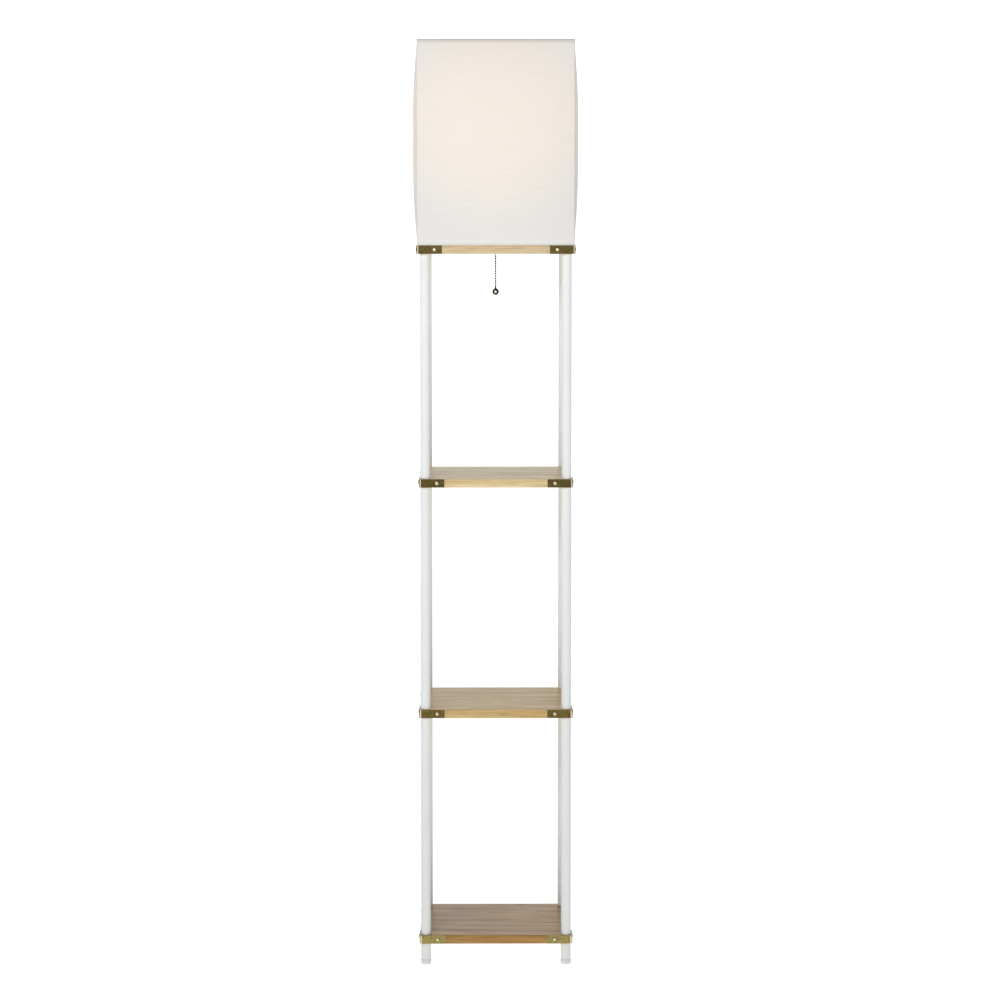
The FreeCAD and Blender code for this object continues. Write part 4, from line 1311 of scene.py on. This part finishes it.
@dataclass
class LampFitting:
    """Riser, lampholder and bulb.

    Attributes:
        sides: faces around.
        ease: the eased edges of turned parts in mm.
        ferrule: the length of the riser's ferrules in mm.
        step: how far they stand off the tube in mm.
        neck: the radius of the lampholder's neck in mm.
        bore: the radius of its mouth's bore in mm.
        groove: the depth of its grooves in mm.
        cap_neck: the housing's radius on the bulb's cap in mm.
        pitch: the bulb thread's in mm.
        globe_radius: in mm.
        globe_middle: the globe's middle level in mm.
    """

    sides: int = 40
    ease: float = 0.3
    ferrule: float = 5.0
    step: float = 0.6
    neck: float = 9.0
    bore: float = 14.1
    groove: float = 0.8
    cap_neck: float = 13.1
    pitch: float = 3.62
    globe_radius: float = 30.0
    globe_middle: float = 1469.6

    def riser(self) -> None:
        """Turn the riser tube with a ferrule at each end."""
        low, high = box_mm("riser_tube")
        radius, slim, shoulder = high.x, high.x - self.step, self.ferrule + self.step
        outline = [
            (radius - self.ease, low.z),
            (radius, low.z + self.ease),
            (radius, low.z + self.ferrule),
            (slim, low.z + shoulder),
            (slim, high.z - shoulder),
            (radius, high.z - self.ferrule),
            (radius, high.z - self.ease),
            (radius - self.ease, high.z),
        ]
        tube = turned(outline, self.sides)
        dress(tube, "Riser_tube_turned", Finish.LACQUER, "riser_tube")

    def groove_outline(self, radius: float, level: float) -> Outline:
        """List the radii and levels of a turned groove, in mm.

        Args:
            radius: of the piece.
            level: where the groove starts.

        Returns:
            A part of the outline that turned() takes.
        """
        floor = radius - self.groove
        return [(radius, level), (floor, level + 0.6), (floor, level + 1.8), (radius, level + 2.4)]

    def holder(self) -> None:
        """Turn the lampholder with its neck, shoulder, two grooves and mouth."""
        low, high = box_mm("socket_body")
        radius, foot, mouth = high.x, low.z, high.z
        outline = [
            (self.neck - 0.4, foot),
            (self.neck, foot + 0.4),
            (self.neck, foot + 8.0),
            (radius - 1.2, foot + 15.4),
            (radius, foot + 17.0),
            *self.groove_outline(radius, foot + 21.0),
            *self.groove_outline(radius, mouth - 6.0),
            (radius, mouth - 0.6),
            (radius - 0.6, mouth),
            (self.bore + 0.2, mouth),
            (self.bore, mouth - 0.4),
            (self.bore, foot + 27.0),
        ]
        body = turned(outline, self.sides, rounding=0.15)
        dress(body, "Lampholder_body", Finish.HOLDER, "socket_body")

    def bulb_cap(self) -> None:
        """Roll the bulb's screw cap, ridge by ridge."""
        low, high = box_mm("bulb_cap")
        crest = high.x
        outline = [(crest - 2.4, low.z), (crest - 1.2, low.z + 0.9)]
        level = low.z + 1.2
        while level + self.pitch < high.z - 2.0:
            outline += [
                (crest - 0.9, level),
                (crest - 0.2, level + self.pitch * 0.28),
                (crest, level + self.pitch * 0.5),
                (crest - 0.2, level + self.pitch * 0.72),
            ]
            level += self.pitch
        outline += [(crest - 0.8, level), (crest - 0.8, high.z)]
        cap = turned(outline, self.sides)
        dress(cap, "Bulb_cap_rolled", Finish.SHELL, "bulb_cap", Body.BULB)

    def housing(self) -> None:
        """Mould the bulb's flared housing with a shadow line under the globe."""
        low, high = box_mm("bulb_housing")
        neck, rim, collar, steps = self.cap_neck, high.x - self.ease, 2.0, 8
        outline = [(neck, low.z), (neck, low.z + collar)]
        for step in range(1, steps + 1):
            share = step / steps
            flare = math.sin(share * QUARTER) ** 1.4
            rise = (high.z - low.z - 2 * collar) * share
            outline.append((neck + (rim - neck) * flare, low.z + collar + rise))
        outline += [(rim, high.z - 1.2), (rim - 0.7, high.z - 0.8), (rim - 0.7, high.z)]
        body = turned(outline, self.sides)
        dress(body, "Bulb_housing_moulded", Finish.BULB_BODY, "bulb_housing", Body.BULB)

    def globe(self) -> None:
        """Blow the opal globe."""
        low, _ = box_mm("bulb_globe")
        first = math.acos((self.globe_middle - low.z) / self.globe_radius)
        last = QUARTER * 1.985
        globe = turned(
            ball_outline(self.globe_radius, self.globe_middle, first, last, 18), self.sides
        )
        dress(globe, "Bulb_globe_blown", Finish.GLOBE, "bulb_globe", Body.BULB)

    def build(self) -> None:
        """Make every part of the fitting, from the riser up."""
        for make in (self.riser, self.holder, self.bulb_cap, self.housing, self.globe):
            make()
        tip = refined("bulb_contact", 0.2)
        dress(tip, "Bulb_contact_tip", Finish.CONTACT, "bulb_contact", Body.TIP)
        repaint(
            {
                "socket_screw_shell": Finish.SHELL,
                "socket_contact": Finish.CONTACT,
                "threaded_pipe": Finish.ZINC,
                "pipe_nut": Finish.ZINC,
                "pipe_washer": Finish.ZINC,
                "lamp_leads": Finish.SLEEVE,
            }
        )


# ---------------------------------------------------------------- switch and chain


@dataclass
class PullSwitch:
    """The pull switch on the top board, and the small steel parts of the stand.

    Attributes:
        housing: the rounding of the housing's edges in mm.
        cover: of the cover's.
        nut: of the nut's.
        lever: of the lever's.
    """

    housing: float = 0.5
    cover: float = 0.35
    nut: float = 0.25
    lever: float = 0.15

    def build(self) -> None:
        """Soften the moulded housing and plate the metal parts."""
        for node, width, finish in (
            ("switch_housing", self.housing, Finish.SWITCH),
            ("switch_cover", self.cover, Finish.SWITCH),
            ("switch_nut", self.nut, Finish.ZINC),
        ):
            dress(refined(node, width), node.capitalize() + "_softened", finish, node)
        lever = refined("switch_lever", self.lever, 1)
        dress(lever, "Switch_lever_stamped", Finish.ZINC, "switch_lever", Body.LEVER)
        repaint(
            {
                "lever_pin": Finish.ZINC,
                "switch_contacts": Finish.CONTACT,
                "switch_lead": Finish.SLEEVE,
                "post_studs": Finish.ZINC,
                "top_screws": Finish.ZINC,
            }
        )


@dataclass
class PullChain:
    """The bead chain with its bell connector and ball.

    Attributes:
        y: the chain's place in mm.
        top: the level of bead 0's middle in mm.
        pitch: from bead to bead in mm.
        bead: a bead's radius in mm.
        lip: the angle in radians that a bead's lip takes up at each end.
        link: the link wire's radius in mm.
        bell: the connector's radius in mm.
        ball_radius: in mm.
        ball_middle: the ball's middle level in mm.
        hole: the radius of the ball's hole in mm.
        seam: the depth of the ball's seam in mm.
        seam_half: half the angle in radians that the seam takes up.
    """

    y: float = -34.0
    top: float = 1233.4
    pitch: float = 4.31
    bead: float = 1.6
    lip: float = 0.34
    link: float = 0.3
    bell: float = 2.2
    ball_radius: float = 5.6
    ball_middle: float = 1167.5
    hole: float = 1.5
    seam: float = 0.12
    seam_half: float = 0.045

    def one_bead(self) -> Object:
        """Form bead 0 with its lips and the link above it.

        Returns:
            The bead.
        """
        outline = ball_outline(self.bead, self.top, self.lip, math.pi - self.lip, 10)
        end = self.top + self.pitch - self.bead - 0.02
        outline += [(self.link, outline[-1][1] - 0.08), (self.link, end)]
        bead = turned(outline, 16, self.y)
        return bead

    def run(self, name: str, numbers: range, node: str, body: Body) -> None:
        """String one run of beads.

        Args:
            name: the run's name.
            numbers: its beads, from the highest down.
            node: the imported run.
            body: the body that the run rides on.
        """
        bead = self.one_bead()
        beads = [
            moved_copy(bead, Matrix.Translation((0, 0, -self.pitch * number * MM)))
            for number in numbers
        ]
        discard(bead)
        pick(beads[0])
        for other in beads[1:]:
            other.select_set(True)
        bpy.ops.object.join()
        dress(beads[0], name, Finish.CHAIN, node, body)

    def connector(self) -> None:
        """Turn the bell that grips the last bead."""
        low, high = box_mm("chain_connector")
        wide = self.bell
        outline = [
            (wide - 0.35, low.z),
            (wide, low.z + 0.35),
            (wide - 0.05, low.z + 1.3),
            (wide - 0.35, low.z + 2.2),
            (wide - 0.8, low.z + 3.1),
            (wide - 0.95, high.z - 0.3),
            (wide - 1.15, high.z),
        ]
        bell = turned(outline, 24, self.y)
        dress(bell, "Chain_connector_bell", Finish.CHAIN, "chain_connector", Body.TAIL)

    def ball(self) -> None:
        """Turn the hollow ball with the seam of its two halves and a lip round its hole."""
        _, high = box_mm("chain_ball")
        radius, middle, steps = self.ball_radius, self.ball_middle, 22
        last = math.pi - math.acos((high.z - middle) / radius)
        outline = [(0.5, middle - radius + 0.02)]
        for step in range(1, steps):
            angle = last * step / steps
            skin = radius - self.seam if abs(angle - QUARTER) < self.seam_half else radius
            outline.append((skin * math.sin(angle), middle - skin * math.cos(angle)))
        outline += [
            (radius * math.sin(last), high.z),
            (self.hole, high.z - 0.25),
            (self.hole, high.z - 1.0),
        ]
        ball = turned(outline, 36, self.y)
        dress(ball, "Chain_ball_turned", Finish.BALL, "chain_ball", Body.TAIL)

    def build(self) -> None:
        """String the chain from the switch down to the ball."""
        self.run("Chain_beads_in_switch", range(-7, 1), "chain_in_switch", Body.PULL)
        self.run("Chain_beads_middle", range(1, 7), "chain_middle", Body.SWING)
        self.run("Chain_beads_lower", range(7, 14), "chain_lower", Body.TAIL)
        self.connector()
        self.ball()


# ---------------------------------------------------------------- the studio


@dataclass(frozen=True)
class Softbox:
    """One rectangular lamp of the studio.

    Attributes:
        name: its name.
        place: where it hangs in metres.
        aim: what it points at in metres.
        size: its width and height in metres.
        watts: its power.
        spread: how wide its honeycomb lets it shine, in degrees.
    """

    name: str
    place: tuple[float, float, float]
    aim: tuple[float, float, float]
    size: tuple[float, float]
    watts: float
    spread: float = 180.0

    def hang(self) -> None:
        """Hang the lamp and point it at its aim."""
        data = bpy.data.lights.new(self.name, "AREA")
        data.shape = "RECTANGLE"
        data.size, data.size_y = self.size
        data.energy = self.watts
        data.spread = math.radians(self.spread)
        light = placed(self.name, data)
        light.location = self.place
        beam = Vector(self.aim) - Vector(self.place)
        light.rotation_euler = beam.to_track_quat("-Z", "Y").to_euler()


@dataclass
class Studio:
    """White floor, soft light and the camera.

    Attributes:
        eye: the camera's place in metres.
        pitch: its tilt in radians.
        yaw: its turn to the right in radians.
        lens: in mm.
        sensor: its width in mm.
        shift: its vertical shift as a share of the frame.
        sky: the room's light.
        backdrop: the white behind the lamp as the camera sees it.
        floor_radius: in metres.
        wall_place: the wall's middle in metres.
        wall_size: its width and height in metres.
        bulb_watts: the power of the bulb's own light.
        bulb_radius: how large that light is, in metres.
        key: the lamp that shapes the metal.
        fill: the large soft lamp behind the camera.
    """

    eye: tuple[float, float, float] = (-0.03296, -6.05509, 1.36336)
    pitch: float = -0.08746
    yaw: float = 0.00674
    lens: float = 124.556
    sensor: float = 36.0
    shift: float = -0.018
    sky: float = 0.3
    backdrop: float = 1.05
    floor_radius: float = 60.0
    wall_place: tuple[float, float, float] = (0.0, 9.0, 2.5)
    wall_size: tuple[float, float] = (18.0, 5.0)
    bulb_watts: float = 2.4
    bulb_radius: float = 0.034
    key: Softbox = Softbox("Front_softbox", (-0.95, -2.8, 2.2), (0, 0, 1.03), (1.0, 0.8), 4.0, 60)
    fill: Softbox = Softbox("Front_fill", (0.4, -7.4, 1.9), (0, 0, 1.0), (3.0, 2.4), 34.0)

    def floor(self) -> None:
        """Roll out the white floor."""
        deselect()
        bpy.ops.mesh.primitive_circle_add(
            vertices=96, radius=self.floor_radius, fill_type="NGON", location=(0, 0, 0)
        )
        floor = settled()
        floor.name = "Studio_floor"
        material, tree, shader, place = begin("White_studio_floor")
        # Painted boards, rolled white: barely uneven, and lit so that they meet the backdrop.
        roller = add_node(tree, "TexNoise", place.outputs["Object"], Scale=3.0, Detail=2.0)
        tone = add_node(tree, "Mix", roller, linear("#7E7E7E"), linear("#7A7A7A"), data_type="RGBA")
        feed(shader, Base_Color=tone, Roughness=0.9, Specular_IOR_Level=0.0)
        feed(shader, Emission_Color=WHITE, Emission_Strength=1.0)
        floor.data.materials.append(material)

    def wall(self) -> None:
        """Stand the lit white wall far behind the lamp, which the boards' tops mirror."""
        deselect()
        bpy.ops.mesh.primitive_plane_add(size=1, location=self.wall_place, rotation=(QUARTER, 0, 0))
        bpy.context.object.scale = (*self.wall_size, 1)
        wall = settled()
        wall.name = "Studio_wall"
        material, tree, shader, place = begin("White_studio_wall")
        # Rolled emulsion, lit almost evenly.
        roller = add_node(tree, "TexNoise", place.outputs["Object"], Scale=2.0, Detail=2.0)
        level = add_node(tree, "MapRange", roller, To_Min=0.98, To_Max=1.08)
        feed(shader, Base_Color=linear("#B0B0B0"), Roughness=0.9, Specular_IOR_Level=0.0)
        feed(shader, Emission_Color=WHITE, Emission_Strength=level)
        wall.data.materials.append(material)

    def room(self) -> None:
        """Light the room evenly and keep the backdrop white."""
        world = bpy.data.worlds.new("Studio_room")
        bpy.context.scene.world = world
        world.use_nodes = True
        tree = world.node_tree
        seen = add_node(tree, "LightPath").outputs["Is Camera Ray"]
        level = add_node(tree, "MapRange", seen, To_Min=self.sky, To_Max=self.backdrop)
        feed(tree.nodes["Background"], Color=WHITE, Strength=level)

    def glow(self) -> None:
        """Put the bulb's own light inside the shade."""
        data = bpy.data.lights.new("Bulb_light", "POINT")
        data.energy = self.bulb_watts
        data.color = linear("#FFDDAE")[:3]
        data.shadow_soft_size = self.bulb_radius
        placed("Bulb_light", data).location = (0, 0, LampFitting.globe_middle * MM)

    def camera(self) -> None:
        """Stand the camera where the picture was taken from."""
        data = bpy.data.cameras.new("Camera")
        data.lens = self.lens
        data.sensor_width = self.sensor
        data.shift_y = self.shift
        data.clip_end = 200  # metres: past the floor's far edge
        camera = placed("Camera", data)
        camera.location = self.eye
        camera.rotation_euler = (QUARTER + self.pitch, 0, -self.yaw)
        bpy.context.scene.camera = camera

    def build(self) -> None:
        """Set up the floor, the lights and the camera."""
        bpy.context.scene.view_settings.view_transform = "Standard"
        self.floor()
        self.wall()
        self.room()
        self.key.hang()
        self.fill.hang()
        self.glow()
        self.camera()


def main() -> None:
    """Build the lamp and the studio, and log the faces of each new piece."""
    logging.basicConfig(level=logging.INFO, format="%(message)s")
    outlet, pipe, nipple = (4.5, 100.0), (5.2, 0.0), (5.0, -34.0)
    for assembly in (
        Board("lower_shelf", Finish.OAK_LOWER),
        Board("middle_shelf", Finish.OAK_MIDDLE),
        Board("upper_shelf", Finish.OAK_UPPER),
        Board("top_board", Finish.OAK_TOP, (outlet, pipe, nipple)),
        Posts("lower"),
        Posts("middle"),
        Posts("upper"),
        Legs(),
        CornerBrackets("lower_shelf_brackets", Finish.LOW_BRACKET, Finish.LOW_TACK),
        CornerBrackets("middle_shelf_brackets", Finish.MID_BRACKET, Finish.TACK),
        CornerBrackets("upper_shelf_brackets", Finish.BRACKET, Finish.TACK),
        CornerBrackets("top_board_brackets", Finish.BRACKET, Finish.TACK),
        Shade(),
        LampFitting(),
        PullSwitch(),
        PullChain(),
        Studio(),
    ):
        assembly.build()
    deselect()


if __name__ == "__main__":
    main()
